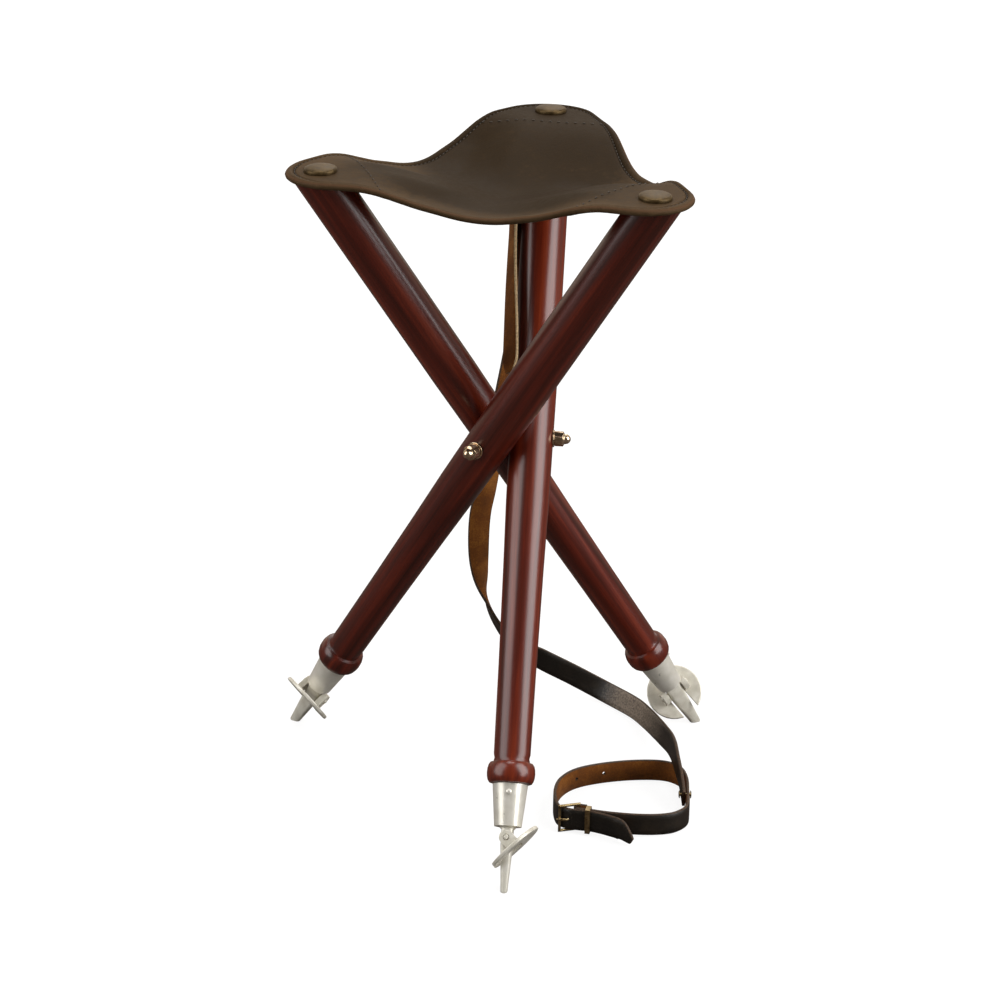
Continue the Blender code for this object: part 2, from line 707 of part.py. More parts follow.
# Seat leather: rings from the middle out over the top face, round the edge, and back underneath.
seat_rings = []
rim = [(share, 0.0, 0.0) for share in SEAT_SHARES] + [(1.0, LEATHER / 2, 0.0009)]
rim += [(share, LEATHER, 0.0) for share in reversed(SEAT_SHARES)]
for share, down, bulge in rim:
    ring = []
    for leg in ("b", "c", "a"):
        for i in range(-SEAT_STEPS, SEAT_STEPS):
            edge = seat_point(leg, i, share, down)
            ring.append(edge + Vector((edge.x, edge.y, 0)).normalized() * bulge)
    seat_rings.append(ring)
seat = loft("seat_leather", seat_rings, root, SEAT_LEATHER)
for leg in LEGS:
    boolean(seat, bpy.data.objects["bore_stud_" + leg])

# Carry strap: its end lies on leg b under a second ply, held by one screw, and it hangs down to the belt.
half_strap = STRAP_WIDTH / 2
half_ply = STRAP_THICKNESS / 2
seat_turn = math.radians(STRAP_SEAT_AZIMUTH)
off_leg = Vector((math.cos(seat_turn), math.sin(seat_turn), 0))
on_leg = off_leg * (LEG_TOP_RADIUS + GAP + half_ply)
strap_points = []
strap_faces = []
for above in (TAB_OVERHANG, 0.0, -0.012):
    strap_points.append(leg_matrices["b"] @ (on_leg + Vector((0, 0, STRAP_SCREW_HEIGHT + above))))
    strap_faces.append(leg_matrices["b"].to_3x3() @ off_leg)
strap_points += [Vector(point) for point, _ in STRAP_ROUTE]
strap_faces += [Vector(face) for _, face in STRAP_ROUTE]
strap = strip("carry_strap", strap_points, strap_faces, 84, lambda share: half_strap, half_ply, root, STRAP_LEATHER)

ply_step = STRAP_THICKNESS + GAP
tab_middle = LEG_TOP_RADIUS + GAP + half_ply + ply_step
tab_points = []
tab_faces = []
for i in range(11):
    share = i / 10
    out = flat_direction(STRAP_SEAT_AZIMUTH + TAB_TWIST * smooth_step((share - 0.2) / 0.8))
    stand = tab_middle + TAB_STAND * smooth_step((share - 0.07) / 0.12)
    height = STRAP_SCREW_HEIGHT + TAB_OVERHANG - TAB_LENGTH * share
    tab_points.append(out * stand + Vector((0, 0, height)))
    tab_faces.append(out)


def tab_half_width(share):
    """The tab keeps its width and ends in a blunt point."""
    return half_strap * min(1.0, 0.45 + 8 * (1 - share))


leg_b = leg_frames["b"]
tab = strip("strap_tab", tab_points, tab_faces, 30, tab_half_width, half_ply, leg_b, STRAP_LEATHER)
screw = turned(
    "strap_screw",
    ((0.0012, -0.020), (0.0016, -0.017), (0.0016, 0.0), (0.0036, 0.0), (0.0034, 0.0009), (0.0018, 0.0017)),
    14,
    leg_b,
    BRASS,
)
screw_at = tab_middle + half_ply + GAP
screw.matrix_local = (
    Matrix.Translation(off_leg * screw_at + Vector((0, 0, STRAP_SCREW_HEIGHT)))
    @ off_leg.to_track_quat("Z", "Y").to_matrix().to_4x4()
)
screw_bore = rod(
    "bore_screw",
    0.0016 + GAP,
    off_leg * (screw_at - 0.021) + Vector((0, 0, STRAP_SCREW_HEIGHT)),
    off_leg * (screw_at + 0.01) + Vector((0, 0, STRAP_SCREW_HEIGHT)),
    12,
    leg_b,
    None,
)
for piece in (legs["b"], strap, tab):
    boolean(piece, screw_bore)

# Belt: one length of strap from the fold round the buckle's bar, round the loop and out through the buckle.
buckle_matrix = Matrix.Translation(BUCKLE_SPOT) @ Matrix.Rotation(math.radians(BUCKLE_TURN), 4, "Z")
buckle = add_empty("buckle_place", buckle_matrix, root)
belt_points = [Vector(point) for point in BELT_ROUTE]
belt_faces = []
for i in range(len(belt_points)):
    run = belt_points[min(i + 1, len(belt_points) - 1)] - belt_points[max(i - 1, 0)]
    belt_faces.append(Vector((0, 0, 1)).cross(run).normalized() * -1)


def belt_half_width(share):
    """The belt narrows to a blunt point at its free end."""
    return half_strap * min(1.0, 0.5 + 22 * (1 - share))


belt = strip("belt", belt_points, belt_faces, 104, belt_half_width, half_ply, buckle, STRAP_LEATHER)
tongue_slot = block("slot_fold", (-0.0060, -0.0035, -0.0026), (0.0025, 0.0050, 0.0026), buckle, None)
boolean(belt, tongue_slot)
prong_slot = block("slot_prong", (-0.0098, -0.0090, -0.0018), (-0.0030, -0.0025, 0.0018), buckle, None)
boolean(belt, prong_slot)
for i, share in enumerate(HOLE_SHARES):
    middle = catmull(belt_points, share)
    through = catmull(belt_faces, share).normalized() * STRAP_THICKNESS
    punch = rod("punch_%d" % i, HOLE_RADIUS, middle - through, middle + through, 10, buckle, None)
    boolean(belt, punch)

# Buckle: a wire frame with its bar inside the fold, a tongue on the bar, and a keeper over both plies.
half_frame = half_strap + FRAME_CLEARANCE + WIRE_RADIUS
corners = (
    Vector((0, 0, -half_frame)),
    Vector((0, 0, half_frame)),
    Vector((-FRAME_REACH, -FRAME_OUT, half_frame)),
    Vector((-FRAME_REACH, -FRAME_OUT, -half_frame)),
)
along = Vector((FRAME_REACH, FRAME_OUT, 0)).normalized()
flat_out = Vector((0, 0, 1)).cross(along)
wire_rings = []
for i, corner_point in enumerate(corners):
    ahead = (corners[(i + 1) % 4] - corner_point).normalized()
    behind = (corner_point - corners[i - 1]).normalized()
    bisector = (ahead - behind).normalized()
    stretch = 1 / math.cos(math.acos(max(-1.0, min(1.0, ahead.dot(behind)))) / 2)
    ring = []
    for j in range(10):
        turn = 2 * math.pi * j / 10
        ring.append(
            corner_point
            + bisector * (WIRE_RADIUS * stretch * math.cos(turn))
            + flat_out * (WIRE_RADIUS * math.sin(turn))
        )
    wire_rings.append(ring)
frame_object = loft("buckle_frame", wire_rings, buckle, BRASS, loop=True)

ring_bore = WIRE_RADIUS + GAP
tongue = turned(
    "buckle_tongue",
    ((ring_bore, -0.0018), (ring_bore + 0.0011, -0.0018), (ring_bore + 0.0011, 0.0018), (ring_bore, 0.0018)),
    16,
    buckle,
    BRASS,
    loop=True,
)
over_bar = FRAME_OUT + WIRE_RADIUS + GAP + 0.0009
prong_points = (
    Vector((-0.0019, -0.0006, 0)),
    Vector((-0.0048, -0.0040, 0)),
    Vector((-0.0085, -over_bar + 0.0010, 0)),
    Vector((-FRAME_REACH, -over_bar, 0)),
    Vector((-FRAME_REACH - 0.0022, -over_bar + 0.0003, 0)),
)
prong_rings = []
for i, point in enumerate(prong_points):
    before = prong_points[max(i - 1, 0)]
    after = prong_points[min(i + 1, len(prong_points) - 1)]
    run = (after - before).normalized()
    side = Vector((0, 0, 1)).cross(run)
    radius = 0.0009 if i < 4 else 0.0005
    ring = []
    for j in range(8):
        turn = 2 * math.pi * j / 8
        ring.append(point + side * (radius * math.cos(turn)) + Vector((0, 0, radius * math.sin(turn) * 1.3)))
    prong_rings.append(ring)
prong = loft("prong", prong_rings, buckle, None)
boolean(tongue, prong, "UNION")

keeper_rings = []
inner_high = -0.0030 + half_ply + GAP
inner_low = -0.0061 - half_ply - GAP
half_keeper = half_strap + FRAME_CLEARANCE
for grow, x in ((0, 0), (KEEPER_WALL, 0), (KEEPER_WALL, KEEPER_LENGTH), (0, KEEPER_LENGTH)):
    x += KEEPER_PLACE
    keeper_rings.append([
        Vector((x, inner_low - grow, -half_keeper - grow)),
        Vector((x, inner_high + grow, -half_keeper - grow)),
        Vector((x, inner_high + grow, half_keeper + grow)),
        Vector((x, inner_low - grow, half_keeper + grow)),
    ])
keeper = loft("belt_keeper", keeper_rings, buckle, BRASS, loop=True)

# Rivet that joins the strap's lower end to the inside of the belt.
rivet_middle = (strap_points[-1] * 0.75 + strap_points[-2] * 0.25) + Vector((half_ply + GAP / 2, 0, 0))
reach = STRAP_THICKNESS + GAP * 1.5 + 0.0012
rivet_frame = add_empty("rivet_place", Matrix.Translation(rivet_middle), root)
rivet = turned(
    "strap_rivet",
    (
        (RIVET_HEAD_RADIUS * 0.7, -reach - RIVET_HEAD),
        (RIVET_HEAD_RADIUS, -reach - RIVET_HEAD * 0.4),
        (RIVET_HEAD_RADIUS, -reach),
        (RIVET_RADIUS, -reach),
        (RIVET_RADIUS, reach),
        (RIVET_HEAD_RADIUS, reach),
        (RIVET_HEAD_RADIUS, reach + RIVET_HEAD * 0.4),
        (RIVET_HEAD_RADIUS * 0.7, reach + RIVET_HEAD),
    ),
    14,
    rivet_frame,
    BRASS,
)
rivet.rotation_euler = (0, math.radians(90), 0)
rivet_bore = rod("bore_rivet", RIVET_RADIUS + GAP, (-0.012, 0, 0), (0.012, 0, 0), 12, rivet_frame, None)
boolean(strap, rivet_bore)
boolean(belt, rivet_bore)

# The stool's frame is moved so that its origin is under the middle of the box round everything but the strap.
on_strap = ("carry_strap", "strap_tab", "belt", "buckle_frame", "buckle_tongue", "belt_keeper", "strap_rivet")
bpy.context.view_layer.update()
graph = bpy.context.evaluated_depsgraph_get()
low = Vector((1.0, 1.0, 1.0))
high = -low
for piece in bpy.context.scene.collection.objects:
    if piece.type != "MESH" or piece.hide_render or piece.name in on_strap:
        continue
    shown = piece.evaluated_get(graph)
    for vertex in shown.data.vertices:
        place = shown.matrix_world @ vertex.co
        low = Vector(map(min, low, place))
        high = Vector(map(max, high, place))
root.location = (-(low.x + high.x) / 2, -(low.y + high.y) / 2, -low.z)
bpy.context.view_layer.update()
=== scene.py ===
"""Folding tripod stool: turned legs crossed on a bolt, a slung leather seat, spiked feet and a carry strap."""
import json
import math

import bmesh
import bpy
from mathutils import Matrix, Vector


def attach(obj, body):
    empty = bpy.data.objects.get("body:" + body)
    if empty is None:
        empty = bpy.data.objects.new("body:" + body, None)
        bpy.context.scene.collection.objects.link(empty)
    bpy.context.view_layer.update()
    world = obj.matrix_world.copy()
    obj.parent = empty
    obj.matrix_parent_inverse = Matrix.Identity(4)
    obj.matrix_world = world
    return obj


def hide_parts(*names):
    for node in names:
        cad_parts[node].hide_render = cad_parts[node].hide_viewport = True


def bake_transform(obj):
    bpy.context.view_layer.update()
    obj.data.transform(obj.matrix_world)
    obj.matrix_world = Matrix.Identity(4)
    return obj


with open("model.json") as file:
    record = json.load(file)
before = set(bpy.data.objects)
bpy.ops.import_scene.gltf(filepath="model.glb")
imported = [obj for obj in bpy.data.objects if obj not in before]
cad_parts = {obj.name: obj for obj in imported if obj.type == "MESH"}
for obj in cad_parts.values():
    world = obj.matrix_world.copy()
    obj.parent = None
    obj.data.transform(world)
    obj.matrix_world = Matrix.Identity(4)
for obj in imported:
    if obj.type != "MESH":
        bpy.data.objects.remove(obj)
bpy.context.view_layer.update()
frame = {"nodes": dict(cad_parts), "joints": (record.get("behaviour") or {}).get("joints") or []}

# Hub bolt: three steel arms forged as one star, where the legs cross. Each arm carries a washer and an acorn nut,
# which hold its leg. All of them are nickel plated.
LEGS = ("a", "b", "c")
WELD_REACH = 0.00002
EASED_ANGLE = math.radians(40)


def linear(code):
    """Linear colour for an sRGB hex code."""
    parts = [int(code[i:i + 2], 16) / 255 for i in (1, 3, 5)]
    return (*[p / 12.92 if p <= 0.04045 else ((p + 0.055) / 1.055) ** 2.4 for p in parts], 1.0)


def add(tree, kind, inputs=(), stops=(), **settings):
    """Adds a shader node. An input takes a value or the socket to link to it; stops are a ramp's places and colours.

    Inputs go by name or number: in a mix of two colours the factor is 0 and the colours are 6 and 7."""
    made = tree.nodes.new("ShaderNode" + kind)
    for name, value in settings.items():
        setattr(made, name, value)
    for i, (place, code) in enumerate(stops):
        stop = made.color_ramp.elements[i] if i < 2 else made.color_ramp.elements.new(place)
        stop.position = place
        stop.color = linear(code)
    for name, value in dict(inputs).items():
        if isinstance(value, bpy.types.NodeSocket):
            tree.links.new(value, made.inputs[name])
        else:
            made.inputs[name].default_value = value
    return made


def new_look(name, **values):
    """A material with its Principled shader; the values go to the shader's own sockets."""
    made = bpy.data.materials.new(name)
    made.use_nodes = True
    shader = made.node_tree.nodes["Principled BSDF"]
    for socket, value in values.items():
        shader.inputs[socket.replace("_", " ")].default_value = value
    return made, made.node_tree, shader


def wire(tree, shader, **sockets):
    """Links patterns to the shader's sockets."""
    for socket, pattern in sockets.items():
        tree.links.new(pattern, shader.inputs[socket.replace("_", " ")])


def dress(node, look, edge):
    """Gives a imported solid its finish, with its facets smoothed and its edges eased by a small round."""
    piece = frame["nodes"][node]
    mesh = piece.data
    mesh.attributes.remove(mesh.attributes["custom_normal"])
    mesh.polygons.foreach_set("use_smooth", [True] * len(mesh.polygons))
    mesh.materials.clear()
    mesh.materials.append(look)
    weld = piece.modifiers.new("weld", "WELD")
    weld.merge_threshold = WELD_REACH
    ease = piece.modifiers.new("ease", "BEVEL")
    ease.width = edge
    ease.segments = 2
    ease.limit_method = "ANGLE"
    ease.angle_limit = EASED_ANGLE
    ease.use_clamp_overlap = True
    weigh = piece.modifiers.new("weigh", "WEIGHTED_NORMAL")
    weigh.keep_sharp = True


# Nickel plate, polished: it mirrors the room and has aged to a warm tone, with haze in fine lines from the spanner.
# Scales here and below are one over the pattern's real size in metres.
plating, tree, shader = new_look("nickel_plating", Metallic=0.95)
place = add(tree, "TexCoord").outputs["Object"]
clouds = add(tree, "TexNoise", {"Vector": place, "Scale": 1 / 0.006, "Detail": 3.0}).outputs["Fac"]
lines = add(tree, "TexNoise", {"Vector": place, "Scale": 1 / 0.0007, "Detail": 2.0}).outputs["Fac"]
stops = ((0.25, "#b0906e"), (0.55, "#d8bfa0"), (0.8, "#e6d3bb"))
tint = add(tree, "ValToRGB", {"Fac": clouds}, stops).outputs["Color"]
rough = add(tree, "MapRange", {"Value": lines, "To Min": 0.12, "To Max": 0.22}).outputs["Result"]
wire(tree, shader, Base_Color=tint, Roughness=rough)
for leg in LEGS:
    dress("washer_" + leg, plating, edge=0.0003)
    dress("acorn_nut_" + leg, plating, edge=0.0004)
dress("hub_bolt", plating, edge=0.0002)

# Legs: turned mahogany, thickest at the crossing, with a bead above the ferrule. Each hangs on its own bolt arm.
# They are stained by hand and then varnished. Legs a and c are darkened further, each to its own depth, as painted
# shade.
UP = Vector((0, 0, 1))
LEG_LEAN = math.radians(33.5)
LEG_SHADE_DEPTH = {"a": 0.14, "b": 0.0, "c": 0.06}
BAND_SIZE = (0.007, 0.007, 0.22)
PORE_SIZE = (0.0009, 0.0009, 0.03)
hinges = {}
arms = {}
for joint in frame["joints"]:
    if joint["name"].startswith("fold_"):
        hinges[joint["name"][-1]] = Vector(joint["pos_m"])
        arms[joint["name"][-1]] = Vector(joint["axis"])
middle = sum(hinges.values(), Vector()) / 3
middle.z = 0.0
leg_frames = {}
for leg in LEGS:
    sideways = UP.cross(arms[leg])
    up_leg = UP * math.cos(LEG_LEAN) + sideways * math.sin(LEG_LEAN)
    turn = Matrix((arms[leg], up_leg.cross(arms[leg]), up_leg)).transposed()
    leg_frames[leg] = Matrix.Translation(hinges[leg]) @ turn.to_4x4()
    # Varnished mahogany: long red and dark streaks under a clear gloss, which shows the lamps as soft bright bands.
    # Growth bands are about 7 mm wide and run most of the leg; pores are 0.9 mm wide and 30 mm long.
    wood, tree, shader = new_look(
        "varnished_mahogany_" + leg, Coat_Weight=1.0, Coat_Roughness=0.25, Specular_IOR_Level=0.12
    )
    place = add(tree, "TexCoord").outputs["Object"]
    along = {"Vector": place, "Location": hinges[leg], "Rotation": turn.to_euler()}
    bands = add(tree, "Mapping", {**along, "Scale": BAND_SIZE}, vector_type="TEXTURE").outputs[0]
    pores = add(tree, "Mapping", {**along, "Scale": PORE_SIZE}, vector_type="TEXTURE").outputs[0]
    broad = add(tree, "TexNoise", {"Vector": bands, "Scale": 1.0, "Detail": 3.0}).outputs["Fac"]
    fine = add(tree, "TexNoise", {"Vector": pores, "Scale": 1.0, "Detail": 2.0}).outputs["Fac"]
    both = add(tree, "Mix", {"Factor": 0.16, "A": broad, "B": fine}, data_type="FLOAT").outputs["Result"]
    # Each leg's own depth darkens its wood, as painted shade.
    shade_taken = add(tree, "Math", {0: both, 1: LEG_SHADE_DEPTH[leg]}, operation="SUBTRACT").outputs[0]
    stops = ((0.24, "#360f06"), (0.44, "#54180a"), (0.60, "#722710"), (0.78, "#92421b"))
    stain = add(tree, "ValToRGB", {"Fac": shade_taken}, stops).outputs["Color"]
    rough = add(tree, "MapRange", {"Value": fine, "To Min": 0.30, "To Max": 0.42}).outputs["Result"]
    relief = add(tree, "Bump", {"Height": fine, "Strength": 0.12, "Distance": 0.0002}).outputs["Normal"]
    wire(tree, shader, Base_Color=stain, Roughness=rough, Normal=relief)
    dress("leg_" + leg, wood, edge=0.0006)

# Feet: a tapered ferrule nailed over the leg's end, and a blade spike with a plate that flips on a pin.
# Spike, plate and pin are cast aluminium; the ferrule and its nail are drawn from tube and rod.
FOOT_EDGE = 0.0004
# Aluminium left as cast and tumbled: pale and satin, with a fine pebbled skin.
casting, tree, shader = new_look("tumbled_aluminium", Metallic=0.2)
place = add(tree, "TexCoord").outputs["Object"]
patches = add(tree, "TexNoise", {"Vector": place, "Scale": 1 / 0.009, "Detail": 4.0}).outputs["Fac"]
pebbles = add(tree, "TexNoise", {"Vector": place, "Scale": 1 / 0.0011, "Detail": 2.0}).outputs["Fac"]
stops = ((0.3, "#cac5b6"), (0.55, "#dcd8cb"), (0.8, "#ebe8e0"))
tint = add(tree, "ValToRGB", {"Fac": patches}, stops).outputs["Color"]
rough = add(tree, "MapRange", {"Value": patches, "To Min": 0.26, "To Max": 0.42}).outputs["Result"]
relief = add(tree, "Bump", {"Height": pebbles, "Strength": 0.18, "Distance": 0.0002}).outputs["Normal"]
wire(tree, shader, Base_Color=tint, Roughness=rough, Normal=relief)
# Aluminium buffed along its length: smoother than the castings, so it shows soft upright bands of light.
tube, tree, shader = new_look("buffed_aluminium", Metallic=0.35)
place = add(tree, "TexCoord").outputs["Object"]
haze = add(tree, "TexNoise", {"Vector": place, "Scale": 1 / 0.007, "Detail": 3.0}).outputs["Fac"]
tint = add(tree, "ValToRGB", {"Fac": haze}, ((0.3, "#dad6c9"), (0.7, "#e8e4da"))).outputs["Color"]
rough = add(tree, "MapRange", {"Value": haze, "To Min": 0.26, "To Max": 0.31}).outputs["Result"]
wire(tree, shader, Base_Color=tint, Roughness=rough)
for leg in LEGS:
    for part in ("ferrule_", "ferrule_nail_"):
        dress(part + leg, tube, FOOT_EDGE)
    for part in ("spike_", "flip_plate_", "plate_pin_"):
        dress(part + leg, casting, FOOT_EDGE)

# Seat: one piece of saddle leather slung between the three leg tops, with its edge turned under and sewn.
# It is made here as three lobes, one for each leg, that meet in the middle.
HUB_TO_TOP = 0.2605
SEAT_OVERHANG = 0.0262
CORNER_RADIUS = 0.0389
MID_EDGE_SHARE = 0.581
LEATHER = 0.0032
PATCH_THICKNESS = 0.0022
SEAT_LIFT = LEATHER + PATCH_THICKNESS + 0.0006
CORNER_SLOPE = 0.024
SAG = 0.030
# Along the way to a corner, as shares of its reach: where the sag starts, the slope starts and the leather is flat.
SAG_SHARE = -0.043
SLOPE_SHARE = 0.654
FLAT_SHARE = 0.819
# How far the edges hang beside each corner: on its anticlockwise side, then on its clockwise side.
EDGE_DROOP = {"a": (0.0121, 0.0095), "b": (0.0118, -0.0022), "c": (0.0077, 0.0105)}
# Where that droop is full, where it fades out and how far from the spoke it starts, as shares of the corner's reach.
DROOP_FULL = 0.48
DROOP_FADE, DROOP_FADE_LENGTH = 0.578, 0.351
DROOP_ASIDE, DROOP_ASIDE_LENGTH = 0.075, 0.278
corner_points = {leg: leg_frames[leg] @ Vector((0, 0, HUB_TO_TOP)) - middle for leg in LEGS}
corner_reach = Vector(corner_points["a"].xy).length
corner_ways = {leg: Vector((*corner_points[leg].xy, 0)).normalized() for leg in LEGS}
leg_top = corner_points["a"].z
seat_reach = corner_reach + SEAT_OVERHANG
flat_from = FLAT_SHARE * corner_reach
slope_from = SLOPE_SHARE * corner_reach
sag_from = SAG_SHARE * corner_reach


def smooth_step(t):
    """Goes from 0 to 1 with level ends as t does, and stays there outside."""
    t = min(max(t, 0.0), 1.0)
    return t * t * (3 - 2 * t)


def corner_lift(out):
    """Height that one corner adds to the leather at a distance out towards it."""
    rise = SAG * smooth_step((out - sag_from) / (flat_from - sag_from))
    width = flat_from - slope_from
    t = min(max((out - slope_from) / width, 0.0), 1.0)
    return rise - CORNER_SLOPE * (width * (t ** 3 - t ** 4 / 2) + max(out - flat_from, 0.0))


def seat_top(spot):
    """Height of the leather's top face over a spot, counted from the stool's middle."""
    height = leg_top + SEAT_LIFT - corner_lift(corner_reach)
    for leg, way in corner_ways.items():
        out = spot.dot(way)
        aside = way.cross(spot).z
        out_share = out / corner_reach
        aside_share = abs(aside) / corner_reach
        hang = EDGE_DROOP[leg][0] if aside > 0 else EDGE_DROOP[leg][1]
        hang *= smooth_step(out_share / DROOP_FULL) * (1 - smooth_step((out_share - DROOP_FADE) / DROOP_FADE_LENGTH))
        hang *= smooth_step((aside_share - DROOP_ASIDE) / DROOP_ASIDE_LENGTH)
        height += corner_lift(out) - hang
    return height


def seat_radius(offset):
    """Distance of the seat's outline from the middle, at an angle in degrees from the nearest corner."""
    offset = abs(offset)
    centre = seat_reach - CORNER_RADIUS
    side = CORNER_RADIUS + centre * math.cos(math.radians(60))
    hollow = side - MID_EDGE_SHARE * seat_reach
    round_end = math.degrees(math.atan2(math.sin(math.pi / 3) * CORNER_RADIUS, centre + CORNER_RADIUS / 2))
    if offset <= round_end:
        turn = math.radians(offset)
        return centre * math.cos(turn) + math.sqrt(CORNER_RADIUS ** 2 - (centre * math.sin(turn)) ** 2)
    straight = side / math.cos(math.radians(60 - offset))
    return straight - hollow * smooth_step((offset - round_end) / (60 - round_end))


def seat_spot(leg, offset, inset):
    """A spot of the leather's top face on a spoke near one corner, at an inset from the edge."""
    way = Matrix.Rotation(math.radians(offset), 3, "Z") @ corner_ways[leg]
    spot = way * (seat_radius(offset) - inset)
    return Vector((spot.x, spot.y, seat_top(spot))), way


# The hem's section: inset from the edge, height against the leather's top face, and wear (below zero is painted shade
# in the seam's groove).
HEM_WIDTH = 0.0130
HEM_TOP = (
    (HEM_WIDTH, 0.0, 0.0),
    (0.0100, 0.0, 0.0),
    (0.0086, -0.0002, 0.0),
    (0.0078, -0.0008, -0.4),
    (0.0072, -0.0011, -0.9),
    (0.0066, -0.0007, -0.5),
    (0.0056, 0.0003, 0.0),
    (0.0040, 0.0007, 0.0),
    (0.0024, 0.0004, 0.1),
    (0.0012, -0.0003, 1.0),
    (0.0004, -0.0012, 0.3),
    (0.0000, -0.0022, 0.0),
)
HEM_UNDER = (
    (0.0004, -0.0034, 0.0),
    (0.0014, -0.0043, 0.0),
    (0.0030, -0.0048, 0.0),
    (0.0050, -0.0047, 0.0),
    (0.0068, -0.0042, 0.0),
    (0.0076, -0.0036, 0.0),
    (0.0100, -0.0033, 0.0),
    (HEM_WIDTH, -LEATHER, 0.0),
)
SPOKES = 30
SPOKE_CROWDING = 1.4
SEAT_ROWS = 22
# Painted sheen and pull-up start at a share of the way to the edge. They fade towards the back corner, by the spoke's
# slant to it, which leaves that corner dark as painted shade.
SHEEN_FROM, SHEEN_LENGTH = 0.5, 0.45
SHADE_FROM, SHADE_LENGTH = 0.2, 0.5
# The seam runs in the hem's groove. A stitch is given by its place along the run, its lift and its thickness.
SEAM_INSET = 0.0072
SEAM_SINK = 0.0009
SEAM_STEPS = 1200
STITCH_PITCH = 0.0044
STITCH_LENGTH = 0.0029
STITCH_RADIUS = 0.00045
STITCH_SIDES = 6
STITCH_PROFILE = ((-0.5, -0.7, 0.6), (-0.36, 0.35, 1.0), (0, 0.75, 1.0), (0.36, 0.35, 1.0), (0.5, -0.7, 0.6))
# The patch is sewn on by one straight row across the corner.
PATCH_SEAM_INSET = 0.033
PATCH_SEAM_PITCH = 0.0068
PATCH_SEAM_HALF = 7
# The patch lies on the middle spokes: share of the way to the edge, and depth under the leather.
PATCH_SPOKES = slice(14, 47)
PATCH_SECTION = (
    (0.60, 0.0003), (0.72, 0.0003), (0.85, 0.0003), (0.945, 0.0003), (0.95, 0.0014),
    (0.945, 0.0025), (0.85, 0.0025), (0.72, 0.0025), (0.60, 0.0025), (0.595, 0.0014),
)


def add_piece(name, shape, looks, body=None):
    """Turns a bmesh into a piece with smooth faces, riding on a body if one is named."""
    mesh = bpy.data.meshes.new(name)
    shape.to_mesh(mesh)
    shape.free()
    mesh.polygons.foreach_set("use_smooth", [True] * len(mesh.polygons))
    for look in looks:
        mesh.materials.append(look)
    piece = bpy.data.objects.new(name, mesh)
    bpy.context.scene.collection.objects.link(piece)
    if body:
        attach(piece, body)
    return piece


def add_stitch(shape, place, run, up):
    """One stitch: a short thread that rises from its holes."""
    across = run.cross(up).normalized()
    rows = []
    for along, lift, thick in STITCH_PROFILE:
        centre = place + run * (along * STITCH_LENGTH) + up * (lift * STITCH_RADIUS)
        ring = []
        for i in range(STITCH_SIDES):
            turn = math.tau * i / STITCH_SIDES
            reach = across * math.cos(turn) + up * math.sin(turn)
            ring.append(shape.verts.new(centre + reach * (STITCH_RADIUS * thick)))
        rows.append(ring)
    for low, high in zip(rows, rows[1:]):
        for i in range(STITCH_SIDES):
            shape.faces.new((low[i], low[i - 1], high[i - 1], high[i]))
    shape.faces.new(rows[0])
    shape.faces.new(list(reversed(rows[-1])))


# Saddle leather, vegetable tanned and waxed: olive brown and satin. It is painted paler towards its edges, as painted
# sheen and pull-up of the wax where it bends, and darker in the seam's groove, as painted shade.
# The pebble grain is really about 0.5 mm; it is drawn at 1.3 mm so that it shows.
leather, tree, shader = new_look("waxed_saddle_leather", Specular_IOR_Level=0.04)
place = add(tree, "TexCoord").outputs["Object"]
mottle = add(tree, "TexNoise", {"Vector": place, "Scale": 1 / 0.035, "Detail": 4.0}).outputs["Fac"]
grain = add(tree, "TexVoronoi", {"Vector": place, "Scale": 1 / 0.0013}, feature="SMOOTH_F1").outputs["Distance"]
creases = add(tree, "TexNoise", {"Vector": place, "Scale": 1 / 0.005, "Detail": 5.0}).outputs["Fac"]
tone = add(tree, "Mix", {"Factor": 0.45, "A": mottle, "B": creases}, data_type="FLOAT").outputs["Result"]
sheen_and_pull_up = add(tree, "Attribute", attribute_name="painted_sheen_and_pull_up").outputs["Fac"]
wear_and_seam_shade = add(tree, "Attribute", attribute_name="rim_wear_and_seam_shade").outputs["Fac"]
calm = add(
    tree, "MapRange", {"Value": tone, "From Min": 0.3, "From Max": 0.7, "To Min": 0.4, "To Max": 0.6}
).outputs["Result"]
# Painted sheen and pull-up lift the tone towards the edges.
tone_with_sheen = add(tree, "Math", {0: sheen_and_pull_up, 1: 0.24, 2: calm}, operation="MULTIPLY_ADD").outputs[0]
stops = ((0.35, "#241a0e"), (0.55, "#2b2013"), (0.75, "#453523"), (0.95, "#594531"))
tint = add(tree, "ValToRGB", {"Fac": tone_with_sheen}, stops).outputs["Color"]
rim = add(tree, "Mix", {0: wear_and_seam_shade, 6: tint, 7: linear("#4e3827")}, data_type="RGBA").outputs[2]
# Below zero, the hem's value darkens the seam's groove, as painted shade.
seam_shade = add(tree, "Math", {0: wear_and_seam_shade, 1: -1.0}, operation="MULTIPLY").outputs[0]
seam_shaded_tint = add(tree, "Mix", {0: seam_shade, 6: rim, 7: linear("#110c06")}, data_type="RGBA").outputs[2]
rough = add(tree, "MapRange", {"Value": creases, "To Min": 0.44, "To Max": 0.62}).outputs["Result"]
pebble = add(tree, "Bump", {"Height": grain, "Strength": 0.20, "Distance": 0.0003}).outputs["Normal"]
relief = add(
    tree, "Bump", {"Height": creases, "Strength": 0.25, "Distance": 0.0006, "Normal": pebble}
).outputs["Normal"]
wire(tree, shader, Base_Color=seam_shaded_tint, Roughness=rough, Normal=relief)
# Linen thread, waxed: dark and dull, with its twist showing as lighter flecks.
thread, tree, shader = new_look("waxed_thread", Roughness=0.6)
place = add(tree, "TexCoord").outputs["Object"]
twist = add(tree, "TexNoise", {"Vector": place, "Scale": 1 / 0.0006, "Detail": 1.0}).outputs["Fac"]
tint = add(tree, "ValToRGB", {"Fac": twist}, ((0.3, "#17110a"), (0.7, "#3a2d1e"))).outputs["Color"]
wire(tree, shader, Base_Color=tint)

